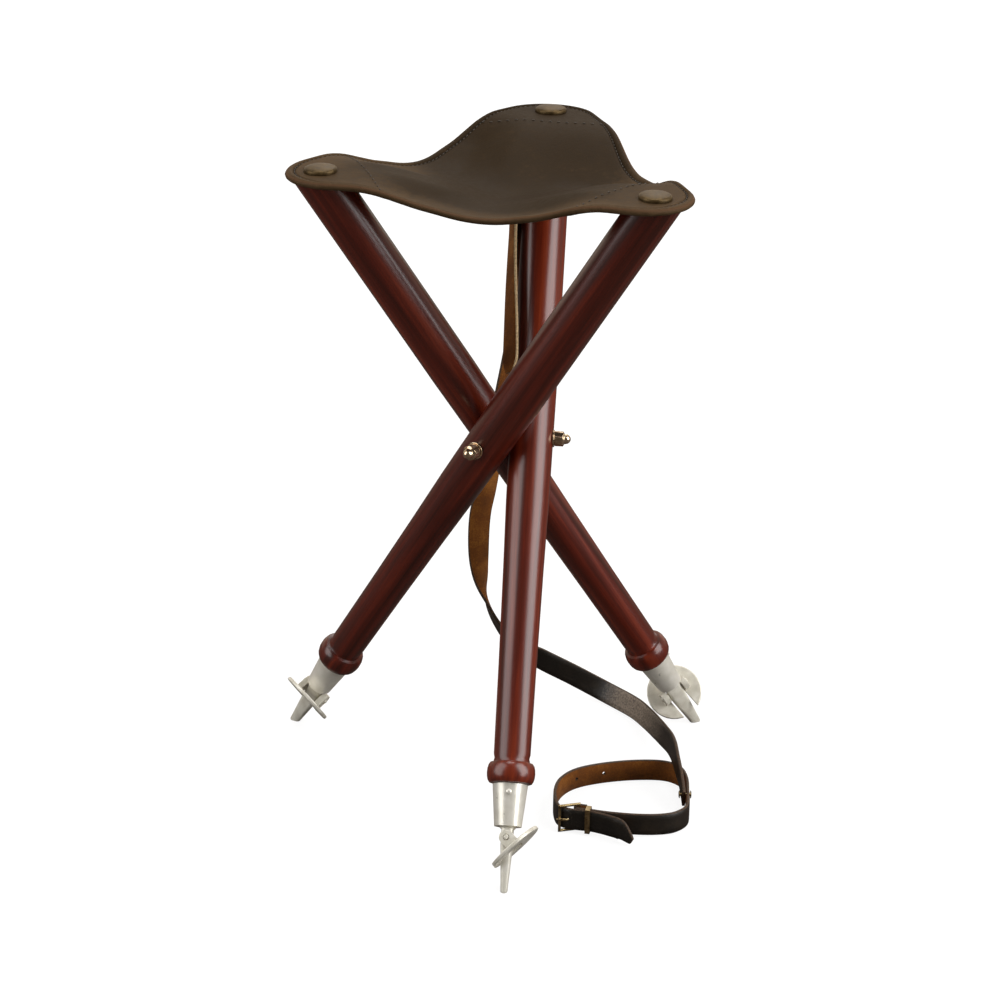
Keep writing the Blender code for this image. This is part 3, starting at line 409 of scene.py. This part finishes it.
# The spokes of a lobe stand closest together at its corner.
offsets = [math.copysign(60 * abs(i / SPOKES) ** SPOKE_CROWDING, i) for i in range(-SPOKES, SPOKES + 1)]
for leg in LEGS:
    shape = bmesh.new()
    wear_and_shade_layer = shape.verts.layers.float.new("rim_wear_and_seam_shade")
    sheen_and_pull_up_layer = shape.verts.layers.float.new("painted_sheen_and_pull_up")
    centre_top = shape.verts.new(middle + Vector((0, 0, seat_top(Vector()))))
    centre_under = shape.verts.new(middle + Vector((0, 0, seat_top(Vector()) - LEATHER)))
    spokes = []
    for offset in offsets:
        full = seat_radius(offset)
        inner = [full - (full - HEM_WIDTH) * i / SEAT_ROWS for i in range(1, SEAT_ROWS)]
        section = [(inset, 0.0, 0.0) for inset in inner] + list(HEM_TOP) + list(HEM_UNDER)
        section += [(inset, -LEATHER, 0.0) for inset in reversed(inner)]
        spoke = []
        for inset, height, hem_wear_and_shade in section:
            spot, way = seat_spot(leg, offset, inset)
            point = shape.verts.new(middle + spot + Vector((0, 0, height)))
            # The hem's value is rim wear above zero and painted shade in the seam's groove below zero.
            point[wear_and_shade_layer] = hem_wear_and_shade
            # The back corner gets the least painted sheen and pull-up, so it stays dark as painted shade.
            clear_of_shade = 1 - smooth_step((way.dot(corner_ways["b"]) - SHADE_FROM) / SHADE_LENGTH)
            point[sheen_and_pull_up_layer] = clear_of_shade * smooth_step((1 - inset / full - SHEEN_FROM) / SHEEN_LENGTH)
            spoke.append(point)
        spokes.append(spoke)
    for near, far in zip(spokes, spokes[1:]):
        shape.faces.new((centre_top, near[0], far[0]))
        shape.faces.new((centre_under, far[-1], near[-1]))
        for i in range(len(near) - 1):
            shape.faces.new((near[i], near[i + 1], far[i + 1], far[i]))
    for spoke, turned_in in ((spokes[0], False), (spokes[-1], True)):
        side_in = [centre_under, centre_top, *spoke]
        for i in range(len(side_in) // 2 - 1):
            wall = [side_in[1 + i], side_in[2 + i], side_in[-1 - i], side_in[-i]]
            shape.faces.new(wall if turned_in else wall[::-1])
    lobe = add_piece("seat_lobe_" + leg, shape, [leather])
    lobe.data.set_sharp_from_angle(angle=math.radians(60))
    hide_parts("seat_leather")

    seam = bmesh.new()
    last = None
    walked = 0.0
    for i in range(-SEAM_STEPS, SEAM_STEPS + 1):
        spot, way = seat_spot(leg, 60 * i / SEAM_STEPS, SEAM_INSET)
        if last is not None:
            walked += (spot - last).length
        if last is not None and walked >= STITCH_PITCH:
            walked -= STITCH_PITCH
            run = (spot - last).normalized()
            up = way.cross(run).normalized()
            up = up if up.z > 0 else -up
            add_stitch(seam, middle + spot + up * -SEAM_SINK, run, up)
        last = spot
    across = UP.cross(corner_ways[leg])
    for i in range(-PATCH_SEAM_HALF, PATCH_SEAM_HALF + 1):
        spot = corner_ways[leg] * (corner_reach - PATCH_SEAM_INSET) + across * (i * PATCH_SEAM_PITCH)
        spot.z = seat_top(spot)
        add_stitch(seam, middle + spot, across, UP)
    hem_seam = add_piece("hem_seam_" + leg, seam, [thread])

    # Corner patch: a second piece of the same leather, sewn under the corner where the stud goes through.
    shape = bmesh.new()
    rows = []
    for offset in offsets[PATCH_SPOKES]:
        full = seat_radius(offset)
        row = []
        for share, down in PATCH_SECTION:
            spot, way = seat_spot(leg, offset, full * (1 - share))
            row.append(shape.verts.new(middle + spot - Vector((0, 0, LEATHER + down))))
        rows.append(row)
    for near, far in zip(rows, rows[1:]):
        for i in range(len(near)):
            shape.faces.new((near[i - 1], near[i], far[i], far[i - 1]))
    shape.faces.new(list(reversed(rows[0])))
    shape.faces.new(rows[-1])
    bmesh.ops.recalc_face_normals(shape, faces=shape.faces)
    patch = add_piece("patch_leather_" + leg, shape, [leather])
    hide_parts("corner_patch_" + leg)

    for piece in (lobe, hem_seam, patch):
        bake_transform(piece)

# Seat studs: one domed nail through each corner into the end of its leg, cast in brass and browned.
# Browned brass: dark and satin, bronze where the light catches it, and cloudy from handling.
browned, tree, shader = new_look("browned_brass", Metallic=0.75)
place = add(tree, "TexCoord").outputs["Object"]
clouds = add(tree, "TexNoise", {"Vector": place, "Scale": 1 / 0.004, "Detail": 4.0}).outputs["Fac"]
stops = ((0.3, "#3d2f18"), (0.6, "#4f3e22"), (0.85, "#625033"))
tint = add(tree, "ValToRGB", {"Fac": clouds}, stops).outputs["Color"]
rough = add(tree, "MapRange", {"Value": clouds, "To Min": 0.38, "To Max": 0.54}).outputs["Result"]
wire(tree, shader, Base_Color=tint, Roughness=rough)
for leg in LEGS:
    dress("seat_stud_" + leg, browned, edge=0.0005)

# Carry strap: a harness-leather strap screwed to one leg under a short second ply, long enough to reach the floor.
# It is cut from one hide, with its grain side dyed and its flesh side left bare.
STRAP_WIDTH = 0.018
STRAP_THICKNESS = 0.0025
STRAP_EASE = 0.0006
STRAP_SCREW_HEIGHT = 0.205
STRAP_SIDE = 197.0
STRAP_HELD = 0.012
STRAP_STEPS = 300
LEG_TOP_RADIUS = 0.0178
PLY_GAP = 0.0003
TAB_LENGTH = 0.165
TAB_OVERHANG = 0.007
TAB_TWIST = 24.0
TAB_STAND = 0.0028
TAB_STEPS = 90
# Where the tab leaves the strap and where its twist starts, as shares of its length.
STAND_FROM, STAND_LENGTH = 0.07, 0.12
TWIST_FROM, TWIST_LENGTH = 0.2, 0.8
# The points of the middle line, counted from the stool's middle, and the way the grain side faces there.
STRAP_ROUTE = (
    ((0.0094, 0.1005, 0.4437), (-0.997, 0.079, 0.00)),
    ((0.0103, 0.0999, 0.4300), (-0.907, 0.323, -0.166)),
    ((0.0118, 0.1010, 0.3960), (-0.80, 0.60, 0.00)),
    ((0.0065, 0.1010, 0.3400), (-0.70, 0.71, 0.00)),
    ((-0.0030, 0.1010, 0.2800), (-0.62, 0.78, 0.00)),
    ((-0.0120, 0.1000, 0.2170), (-0.55, 0.83, 0.00)),
    ((-0.0182, 0.1020, 0.1878), (-0.25, 0.97, 0.00)),
    ((-0.0195, 0.1040, 0.1575), (-0.35, 0.94, 0.00)),
    ((-0.0176, 0.1070, 0.1310), (-0.70, 0.68, -0.20)),
    ((-0.0118, 0.1120, 0.1044), (-0.93, -0.10, -0.34)),
    ((-0.0032, 0.1200, 0.0808), (-0.80, -0.48, -0.35)),
    ((0.0115, 0.1320, 0.0571), (-0.58, -0.78, -0.10)),
    ((0.0340, 0.1440, 0.0369), (-0.38, -0.87, 0.30)),
    ((0.0630, 0.1460, 0.0207), (-0.45, -0.82, 0.35)),
    ((0.0909, 0.1363, 0.0096), (-0.62, -0.66, 0.42)),
    ((0.1134, 0.1088, 0.0092), (-0.70, -0.58, 0.40)),
    ((0.1240, 0.0848, 0.0108), (-0.78, -0.49, 0.36)),
    ((0.1313, 0.0600, 0.0138), (-0.85, -0.40, 0.31)),
    ((0.1364, 0.0350, 0.0186), (-0.90, -0.31, 0.25)),
    ((0.1397, 0.0110, 0.0246), (-0.945, -0.22, 0.18)),
    ((0.1417, -0.0130, 0.0292), (-0.98, -0.12, 0.10)),
    ((0.1437, -0.0320, 0.0266), (-1.00, -0.05, 0.04)),
    ((0.1462, -0.0480, 0.0208), (-1.00, -0.03, 0.00)),
    ((0.1478, -0.0650, 0.0128), (-1.00, 0.03, 0.00)),
)
# Where the strap bends on the floor and is painted grey, as worn dye and painted sheen, and how far that grey reaches
# on both sides, as route shares.
BEND_SHARE = 0.676
WEAR_SHEEN_BEFORE = 0.024
WEAR_SHEEN_AFTER = 0.12
# The order of a strap's looks.
GRAIN, FLESH, CUT_EDGE = range(3)


def on_curve(points, share):
    """A point on the smooth curve through the points; share runs from 0 at the first to 1 at the last."""
    last = len(points) - 1
    place = min(max(share, 0.0), 1.0) * last
    i = min(int(place), last - 1)
    t = place - i
    slope_here = (points[i + 1] - points[max(i - 1, 0)]) / 2
    slope_after = (points[min(i + 2, last)] - points[i]) / 2
    return (
        points[i] * (2 * t ** 3 - 3 * t ** 2 + 1)
        + slope_here * (t ** 3 - 2 * t ** 2 + t)
        + points[i + 1] * (3 * t ** 2 - 2 * t ** 3)
        + slope_after * (t ** 3 - t ** 2)
    )


def cut_strap(name, points, grains, steps, half_width, looks, wear_and_sheen=lambda share: 0.0):
    """A strap with eased edges along a curve. Its faces take three looks: grain side, flesh side and cut edge."""
    shape = bmesh.new()
    wear_and_sheen_layer = shape.verts.layers.float.new("wear_and_sheen")
    half = STRAP_THICKNESS / 2
    ease = STRAP_EASE
    rows = []
    for i in range(steps + 1):
        share = i / steps
        step = 0.25 / steps
        run = (on_curve(points, share + step) - on_curve(points, share - step)).normalized()
        out = on_curve(grains, share)
        out = (out - run * out.dot(run)).normalized()
        side = run.cross(out)
        wide = half_width(share)
        # The grain side is the first four points, slightly crowned; the flesh side lies between the seventh and eighth.
        section = (
            (wide - ease, half), (wide * 0.5, half * 1.05), (-wide * 0.5, half * 1.05), (-wide + ease, half),
            (-wide, half - ease), (-wide, ease - half),
            (-wide + ease, -half), (wide - ease, -half),
            (wide, ease - half), (wide, half - ease),
        )
        centre = on_curve(points, share)
        rows.append([shape.verts.new(centre + side * u + out * v) for u, v in section])
        for point in rows[-1]:
            point[wear_and_sheen_layer] = wear_and_sheen(share)
    for near, far in zip(rows, rows[1:]):
        for i in range(len(near)):
            j = (i + 1) % len(near)
            face = shape.faces.new((near[i], far[i], far[j], near[j]))
            face.material_index = GRAIN if i < 3 else (FLESH if i == 6 else CUT_EDGE)
    for end in (list(rows[0]), list(reversed(rows[-1]))):
        shape.faces.new(end).material_index = CUT_EDGE
    bmesh.ops.recalc_face_normals(shape, faces=shape.faces)
    piece = add_piece(name, shape, looks, "leg_b")
    piece.data.set_sharp_from_angle(angle=math.radians(50))
    return piece


# Harness leather, dyed and waxed: nearly black with a low gloss, cracked a few millimetres apart, and painted grey at
# the bend as worn dye and painted sheen.
strap_grain, tree, shader = new_look(
    "waxed_harness_leather", Coat_Weight=0.3, Coat_Roughness=0.38, Specular_IOR_Level=0.3
)
place = add(tree, "TexCoord").outputs["Object"]
mottle = add(tree, "TexNoise", {"Vector": place, "Scale": 1 / 0.022, "Detail": 4.0}).outputs["Fac"]
cracks = add(
    tree, "TexVoronoi", {"Vector": place, "Scale": 1 / 0.0035}, feature="DISTANCE_TO_EDGE"
).outputs["Distance"]
soft = add(tree, "TexNoise", {"Vector": place, "Scale": 1 / 0.0016, "Detail": 4.0}).outputs["Fac"]
stops = ((0.3, "#120e09"), (0.55, "#1b150e"), (0.8, "#2b2217"))
tint = add(tree, "ValToRGB", {"Fac": mottle}, stops).outputs["Color"]
# The grey at the bend is worn dye and painted sheen.
wear_and_sheen = add(tree, "Attribute", attribute_name="wear_and_sheen").outputs["Fac"]
broken = add(tree, "Math", {0: wear_and_sheen, 1: soft}, operation="MULTIPLY").outputs[0]
worn_sheen_patch = add(tree, "MapRange", {"Value": broken, "From Min": 0.15, "From Max": 0.58}).outputs["Result"]
dye_with_sheen = add(tree, "Mix", {0: worn_sheen_patch, 6: tint, 7: linear("#8c7e70")}, data_type="RGBA").outputs[2]
rough = add(tree, "MapRange", {"Value": soft, "To Min": 0.34, "To Max": 0.58}).outputs["Result"]
line = add(tree, "MapRange", {"Value": cracks, "From Max": 0.12}).outputs["Result"]
crack_relief = add(tree, "Bump", {"Height": line, "Strength": 0.30, "Distance": 0.0002}).outputs["Normal"]
relief = add(
    tree, "Bump", {"Height": soft, "Strength": 0.3, "Distance": 0.0003, "Normal": crack_relief}
).outputs["Normal"]
wire(tree, shader, Base_Color=dye_with_sheen, Roughness=rough, Normal=relief)
# The bare flesh side of the same hide: tan and matt, with a short nap.
strap_flesh, tree, shader = new_look(
    "bare_flesh_side", Roughness=0.85, Sheen_Weight=0.04, Specular_IOR_Level=0.2
)
place = add(tree, "TexCoord").outputs["Object"]
mottle = add(tree, "TexNoise", {"Vector": place, "Scale": 1 / 0.018, "Detail": 4.0}).outputs["Fac"]
nap = add(tree, "TexNoise", {"Vector": place, "Scale": 1 / 0.0012, "Detail": 3.0}).outputs["Fac"]
tone = add(tree, "Mix", {"Factor": 0.4, "A": mottle, "B": nap}, data_type="FLOAT").outputs["Result"]
stops = ((0.3, "#4d2a08"), (0.5, "#693a0b"), (0.72, "#8a571d"))
tint = add(tree, "ValToRGB", {"Fac": tone}, stops).outputs["Color"]
relief = add(tree, "Bump", {"Height": nap, "Strength": 0.35, "Distance": 0.0004}).outputs["Normal"]
wire(tree, shader, Base_Color=tint, Normal=relief)
# A cut edge, rubbed down: brown and dull, with fibres showing as fine flecks.
strap_edge, tree, shader = new_look("cut_leather_edge", Roughness=0.7)
place = add(tree, "TexCoord").outputs["Object"]
fibres = add(tree, "TexNoise", {"Vector": place, "Scale": 1 / 0.0015, "Detail": 3.0}).outputs["Fac"]
stops = ((0.3, "#22160c"), (0.6, "#432d18"), (0.8, "#664828"))
tint = add(tree, "ValToRGB", {"Fac": fibres}, stops).outputs["Color"]
wire(tree, shader, Base_Color=tint)
strap_looks = [strap_grain, strap_flesh, strap_edge]
# The short upper ply is undyed russet leather: red-brown with a soft gloss. It lies with its flesh side out.
ply_grain, tree, shader = new_look("russet_harness_leather", Specular_IOR_Level=0.25)
place = add(tree, "TexCoord").outputs["Object"]
mottle = add(tree, "TexNoise", {"Vector": place, "Scale": 1 / 0.015, "Detail": 4.0}).outputs["Fac"]
soft = add(tree, "TexNoise", {"Vector": place, "Scale": 1 / 0.0016, "Detail": 4.0}).outputs["Fac"]
stops = ((0.3, "#4a3228"), (0.55, "#644739"), (0.8, "#7a5a49"))
tint = add(tree, "ValToRGB", {"Fac": mottle}, stops).outputs["Color"]
rough = add(tree, "MapRange", {"Value": soft, "To Min": 0.36, "To Max": 0.55}).outputs["Result"]
relief = add(tree, "Bump", {"Height": soft, "Strength": 0.25, "Distance": 0.0003}).outputs["Normal"]
wire(tree, shader, Base_Color=tint, Roughness=rough, Normal=relief)
# Its edges are left raw, so they are pale and fibrous.
ply_edge, tree, shader = new_look("raw_leather_edge", Roughness=0.75)
place = add(tree, "TexCoord").outputs["Object"]
fibres = add(tree, "TexNoise", {"Vector": place, "Scale": 1 / 0.0015, "Detail": 3.0}).outputs["Fac"]
stops = ((0.3, "#8a7050"), (0.6, "#b0956c"), (0.8, "#c8b088"))
tint = add(tree, "ValToRGB", {"Fac": fibres}, stops).outputs["Color"]
wire(tree, shader, Base_Color=tint)
tab_looks = [strap_flesh, ply_grain, ply_edge]


def out_of_leg(degrees):
    """The way out of a leg's side, at an angle round it."""
    return Vector((math.cos(math.radians(degrees)), math.sin(math.radians(degrees)), 0))


def worn_sheen(share):
    """How much grey is painted on, as worn dye and painted sheen: most at the bend, and fading faster before it than
    after it.
    """
    return math.exp(-((share - BEND_SHARE) / (WEAR_SHEEN_BEFORE if share < BEND_SHARE else WEAR_SHEEN_AFTER)) ** 2)


def tapered(tip, rate):
    """Half width of a strap that narrows to a share of its width at its tip."""
    return lambda share: half_strap * min(1.0, tip + rate * (1 - share))


off_leg = out_of_leg(STRAP_SIDE)
half_strap = STRAP_WIDTH / 2
half_ply = STRAP_THICKNESS / 2
strap_points = []
strap_grains = []
for above in (TAB_OVERHANG, 0.0, -STRAP_HELD):
    on_leg = off_leg * (LEG_TOP_RADIUS + PLY_GAP + half_ply) + Vector((0, 0, STRAP_SCREW_HEIGHT + above))
    strap_points.append(leg_frames["b"] @ on_leg)
    strap_grains.append(leg_frames["b"].to_3x3() @ off_leg)
for point, grain_side in STRAP_ROUTE:
    strap_points.append(middle + Vector(point))
    strap_grains.append(Vector(grain_side))
strap = cut_strap(
    "long_strap", strap_points, strap_grains, STRAP_STEPS, lambda share: half_strap, strap_looks, worn_sheen
)
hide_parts("carry_strap")

# The upper ply leaves the strap just below the screw, stands off the leg and twists round it.
tab_reach = LEG_TOP_RADIUS + 2 * PLY_GAP + STRAP_THICKNESS + half_ply
tab_points = []
tab_grains = []
for i in range(11):
    share = i / 10
    out = out_of_leg(STRAP_SIDE + TAB_TWIST * smooth_step((share - TWIST_FROM) / TWIST_LENGTH))
    stand = tab_reach + TAB_STAND * smooth_step((share - STAND_FROM) / STAND_LENGTH)
    height = STRAP_SCREW_HEIGHT + TAB_OVERHANG - TAB_LENGTH * share
    tab_points.append(leg_frames["b"] @ (out * stand + Vector((0, 0, height))))
    tab_grains.append(leg_frames["b"].to_3x3() @ out)
tab = cut_strap("upper_ply", tab_points, tab_grains, TAB_STEPS, tapered(tip=0.45, rate=8), tab_looks)
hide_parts("strap_tab")

# Brass, polished and lacquered: pale gold, cloudy where the lacquer has dulled.
yellow_metal, tree, shader = new_look("lacquered_brass", Metallic=1.0)
place = add(tree, "TexCoord").outputs["Object"]
clouds = add(tree, "TexNoise", {"Vector": place, "Scale": 1 / 0.004, "Detail": 4.0}).outputs["Fac"]
stops = ((0.3, "#8d7852"), (0.6, "#b7a278"), (0.85, "#d0c19c"))
tint = add(tree, "ValToRGB", {"Fac": clouds}, stops).outputs["Color"]
rough = add(tree, "MapRange", {"Value": clouds, "To Min": 0.2, "To Max": 0.4}).outputs["Result"]
wire(tree, shader, Base_Color=tint, Roughness=rough)
FITTING_EDGE = 0.0002
dress("strap_screw", yellow_metal, FITTING_EDGE)

# Belt: a short strap riveted to the strap's end, which goes round the folded legs and through its own buckle.
# It is cut from the same leather, stands on its edge on the floor, and has holes punched for the tongue.
# Its route starts under the buckle's bar and is counted from the buckle.
BUCKLE_SPOT = (0.064, -0.0955, 0.0121)
BUCKLE_TURN = -12.0
HOLE_RADIUS = 0.0014
HOLE_SHARES = (0.643, 0.673)
PUNCH_LENGTH = 0.01
BELT_STEPS = 320
FITTINGS = ("buckle_frame", "buckle_tongue", "belt_keeper", "strap_rivet")
BELT_ROUTE = (
    (0.0056, 0.0030, 0.0),
    (0.0028, 0.0030, 0.0),
    (0.0000, 0.0030, 0.0),
    (-0.0021, 0.0021, 0.0),
    (-0.0030, 0.0000, 0.0),
    (-0.0021, -0.0021, 0.0),
    (0.0000, -0.0030, 0.0),
    (0.0060, -0.0030, 0.0),
    (0.0240, -0.0028, -0.0006),
    (0.0470, 0.0005, -0.0014),
    (0.0650, 0.0065, -0.0020),
    (0.0756, 0.0150, -0.0024),
    (0.0812, 0.0290, -0.0025),
    (0.0777, 0.0528, -0.0025),
    (0.0725, 0.0770, -0.0025),
    (0.0635, 0.0935, -0.0025),
    (0.0460, 0.0985, -0.0025),
    (0.0150, 0.0885, -0.0023),
    (-0.0125, 0.0695, -0.0018),
    (-0.0238, 0.0480, -0.0012),
    (-0.0240, 0.0230, -0.0005),
    (-0.0170, 0.0000, 0.0),
    (-0.0080, -0.0056, 0.0),
    (0.0000, -0.0061, 0.0),
    (0.0120, -0.0062, 0.0),
    (0.0265, -0.0090, -0.0006),
    (0.0360, -0.0130, -0.0012),
    (0.0455, -0.0180, -0.0072),
)
buckle_turn = Matrix.Rotation(math.radians(BUCKLE_TURN), 4, "Z")
buckle_place = Matrix.Translation(middle + Vector(BUCKLE_SPOT)) @ buckle_turn
belt_points = [buckle_place @ Vector(point) for point in BELT_ROUTE]
belt_grains = []
for i in range(len(belt_points)):
    run = belt_points[min(i + 1, len(belt_points) - 1)] - belt_points[max(i - 1, 0)]
    belt_grains.append(run.cross(UP).normalized())
belt_width = tapered(tip=0.32, rate=18)
belt = cut_strap("buckled_belt", belt_points, belt_grains, BELT_STEPS, belt_width, strap_looks)
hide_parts("belt")
for share in HOLE_SHARES:
    shape = bmesh.new()
    bmesh.ops.create_cone(
        shape, cap_ends=True, segments=20, radius1=HOLE_RADIUS, radius2=HOLE_RADIUS, depth=PUNCH_LENGTH
    )
    through = on_curve(belt_grains, share).to_track_quat("Z", "Y").to_matrix().to_4x4()
    shape.transform(Matrix.Translation(on_curve(belt_points, share)) @ through)
    for face in shape.faces:
        face.material_index = CUT_EDGE
    punch = add_piece("punch", shape, list(belt.data.materials), "leg_b")
    hole = belt.modifiers.new("hole", "BOOLEAN")
    hole.solver = "EXACT"
    hole.object = punch
    graph = bpy.context.evaluated_depsgraph_get()
    holed = bpy.data.meshes.new_from_object(belt.evaluated_get(graph))
    belt.modifiers.remove(hole)
    bpy.data.objects.remove(punch)
    belt.data = holed
    holed.set_sharp_from_angle(angle=math.radians(50))
for node in FITTINGS:
    dress(node, yellow_metal, FITTING_EDGE)

# Stage: a painted floor that the camera sees as white, in a white surround that is dimmer in front of the stool.
# Two tall softboxes stand in front at the sides, one hangs overhead, and a wide skylight comes from behind.
FLOOR_HALF = 6
shape = bmesh.new()
for x, y in ((-1, -1), (1, -1), (1, 1), (-1, 1)):
    shape.verts.new((x * FLOOR_HALF, y * FLOOR_HALF, 0.0))
shape.faces.new(shape.verts)
# Matt floor paint: an even grey under the lamps, faintly cloudy. It glows for the camera, and a little more far off,
# so that the shadow stays and no edge shows. Reflections see it dim and warm, as white would veil the dark varnish.
floor_paint, tree, shader = new_look("white_floor_paint", Roughness=0.9, Emission_Color=linear("#ffffff"))
place = add(tree, "TexCoord").outputs["Object"]
speckle = add(tree, "TexNoise", {"Vector": place, "Scale": 1 / 0.4, "Detail": 2.0}).outputs["Fac"]
tint = add(tree, "ValToRGB", {"Fac": speckle}, ((0.3, "#6c6c6c"), (0.7, "#707070"))).outputs["Color"]
ray = add(tree, "LightPath").outputs
mirrored = add(
    tree, "Math", {0: ray["Is Glossy Ray"], 1: ray["Is Transmission Ray"]}, operation="MAXIMUM"
).outputs[0]
seen = add(tree, "Mix", {0: mirrored, 6: tint, 7: linear("#33241a")}, data_type="RGBA").outputs[2]
shine = add(tree, "Math", {0: mirrored, 1: 0.02}, operation="MULTIPLY").outputs[0]
reach = add(tree, "VectorMath", {0: place}, operation="LENGTH").outputs["Value"]
glow = add(
    tree, "MapRange", {"Value": reach, "From Min": 0.6, "From Max": 2.2, "To Min": 0.87, "To Max": 1.0}
).outputs["Result"]
lift = add(tree, "Math", {0: ray["Is Camera Ray"], 1: glow, 2: shine}, operation="MULTIPLY_ADD").outputs[0]
wire(tree, shader, Base_Color=seen, Emission_Strength=lift)
floor = add_piece("floor", shape, [floor_paint])

world = bpy.data.worlds.new("white_surround")
world.use_nodes = True
tree = world.node_tree
back = tree.nodes["Background"]
to_camera = add(tree, "LightPath").outputs["Is Camera Ray"]
way = add(tree, "TexCoord").outputs["Generated"]
depth = add(tree, "SeparateXYZ", {"Vector": way}).outputs["Y"]
room = add(
    tree, "MapRange", {"Value": depth, "From Min": 0.1, "From Max": 0.9, "To Min": 0.08, "To Max": 0.8}
).outputs["Result"]
shown = add(tree, "Mix", {"Factor": to_camera, "A": room, "B": 1.0}, data_type="FLOAT").outputs["Result"]
warmth = add(
    tree, "Mix", {0: to_camera, 6: linear("#ffefdc"), 7: linear("#ffffff")}, data_type="RGBA"
).outputs[2]
wire(tree, back, Strength=shown, Color=warmth)
bpy.context.scene.world = world


def add_softbox(name, place, aim, wide, tall, power):
    """A rectangular soft lamp, sized in metres and powered in watts, that faces a point."""
    lamp = bpy.data.lights.new(name, "AREA")
    lamp.shape = "RECTANGLE"
    lamp.size = wide
    lamp.size_y = tall
    lamp.energy = power
    made = bpy.data.objects.new(name, lamp)
    made.location = place
    made.rotation_euler = (Vector(aim) - Vector(place)).to_track_quat("-Z", "Y").to_euler()
    bpy.context.scene.collection.objects.link(made)


add_softbox("softbox_left", place=(-1.72, -0.68, 1.35), aim=(0, 0, 0.5), wide=1.7, tall=2.4, power=37.0)
add_softbox("softbox_right", place=(1.72, -0.68, 1.35), aim=(0, 0, 0.5), wide=1.6, tall=2.4, power=62.0)
add_softbox("softbox_above", place=(0, 0.2, 2.6), aim=(0, 0, 0.3), wide=1.2, tall=1.2, power=26.0)
daylight = bpy.data.lights.new("skylight", "SUN")
daylight.energy = 0.4
daylight.angle = math.radians(28)
skylight = bpy.data.objects.new("skylight", daylight)
skylight.rotation_euler = (math.radians(-50), math.radians(8), 0)
bpy.context.scene.collection.objects.link(skylight)

# Camera: the photograph's viewpoint, found by fitting the leg axes, the bolt and the feet to the picture.
# It looks down a little from the front, through a long lens.
CAMERA_SPOT = (0, -2.2516, 1.1479)
CAMERA_TILT = 0.3833
CAMERA_ROLL = 0.0173
camera = bpy.data.cameras.new("camera")
camera.lens = 111.18
camera.sensor_width = 36.0
camera.shift_x = -0.00288
viewer = bpy.data.objects.new("viewer", camera)
tilt_sin = math.sin(CAMERA_TILT)
tilt_cos = math.cos(CAMERA_TILT)
tilt = Matrix(((1, 0, 0), (0, tilt_sin, -tilt_cos), (0, tilt_cos, tilt_sin))).to_4x4()
turn = tilt @ Matrix.Rotation(CAMERA_ROLL, 4, "Z")
viewer.matrix_world = Matrix.Translation(middle + Vector(CAMERA_SPOT)) @ turn
bpy.context.scene.collection.objects.link(viewer)
bpy.context.scene.camera = viewer
bpy.context.scene.view_settings.view_transform = "Standard"
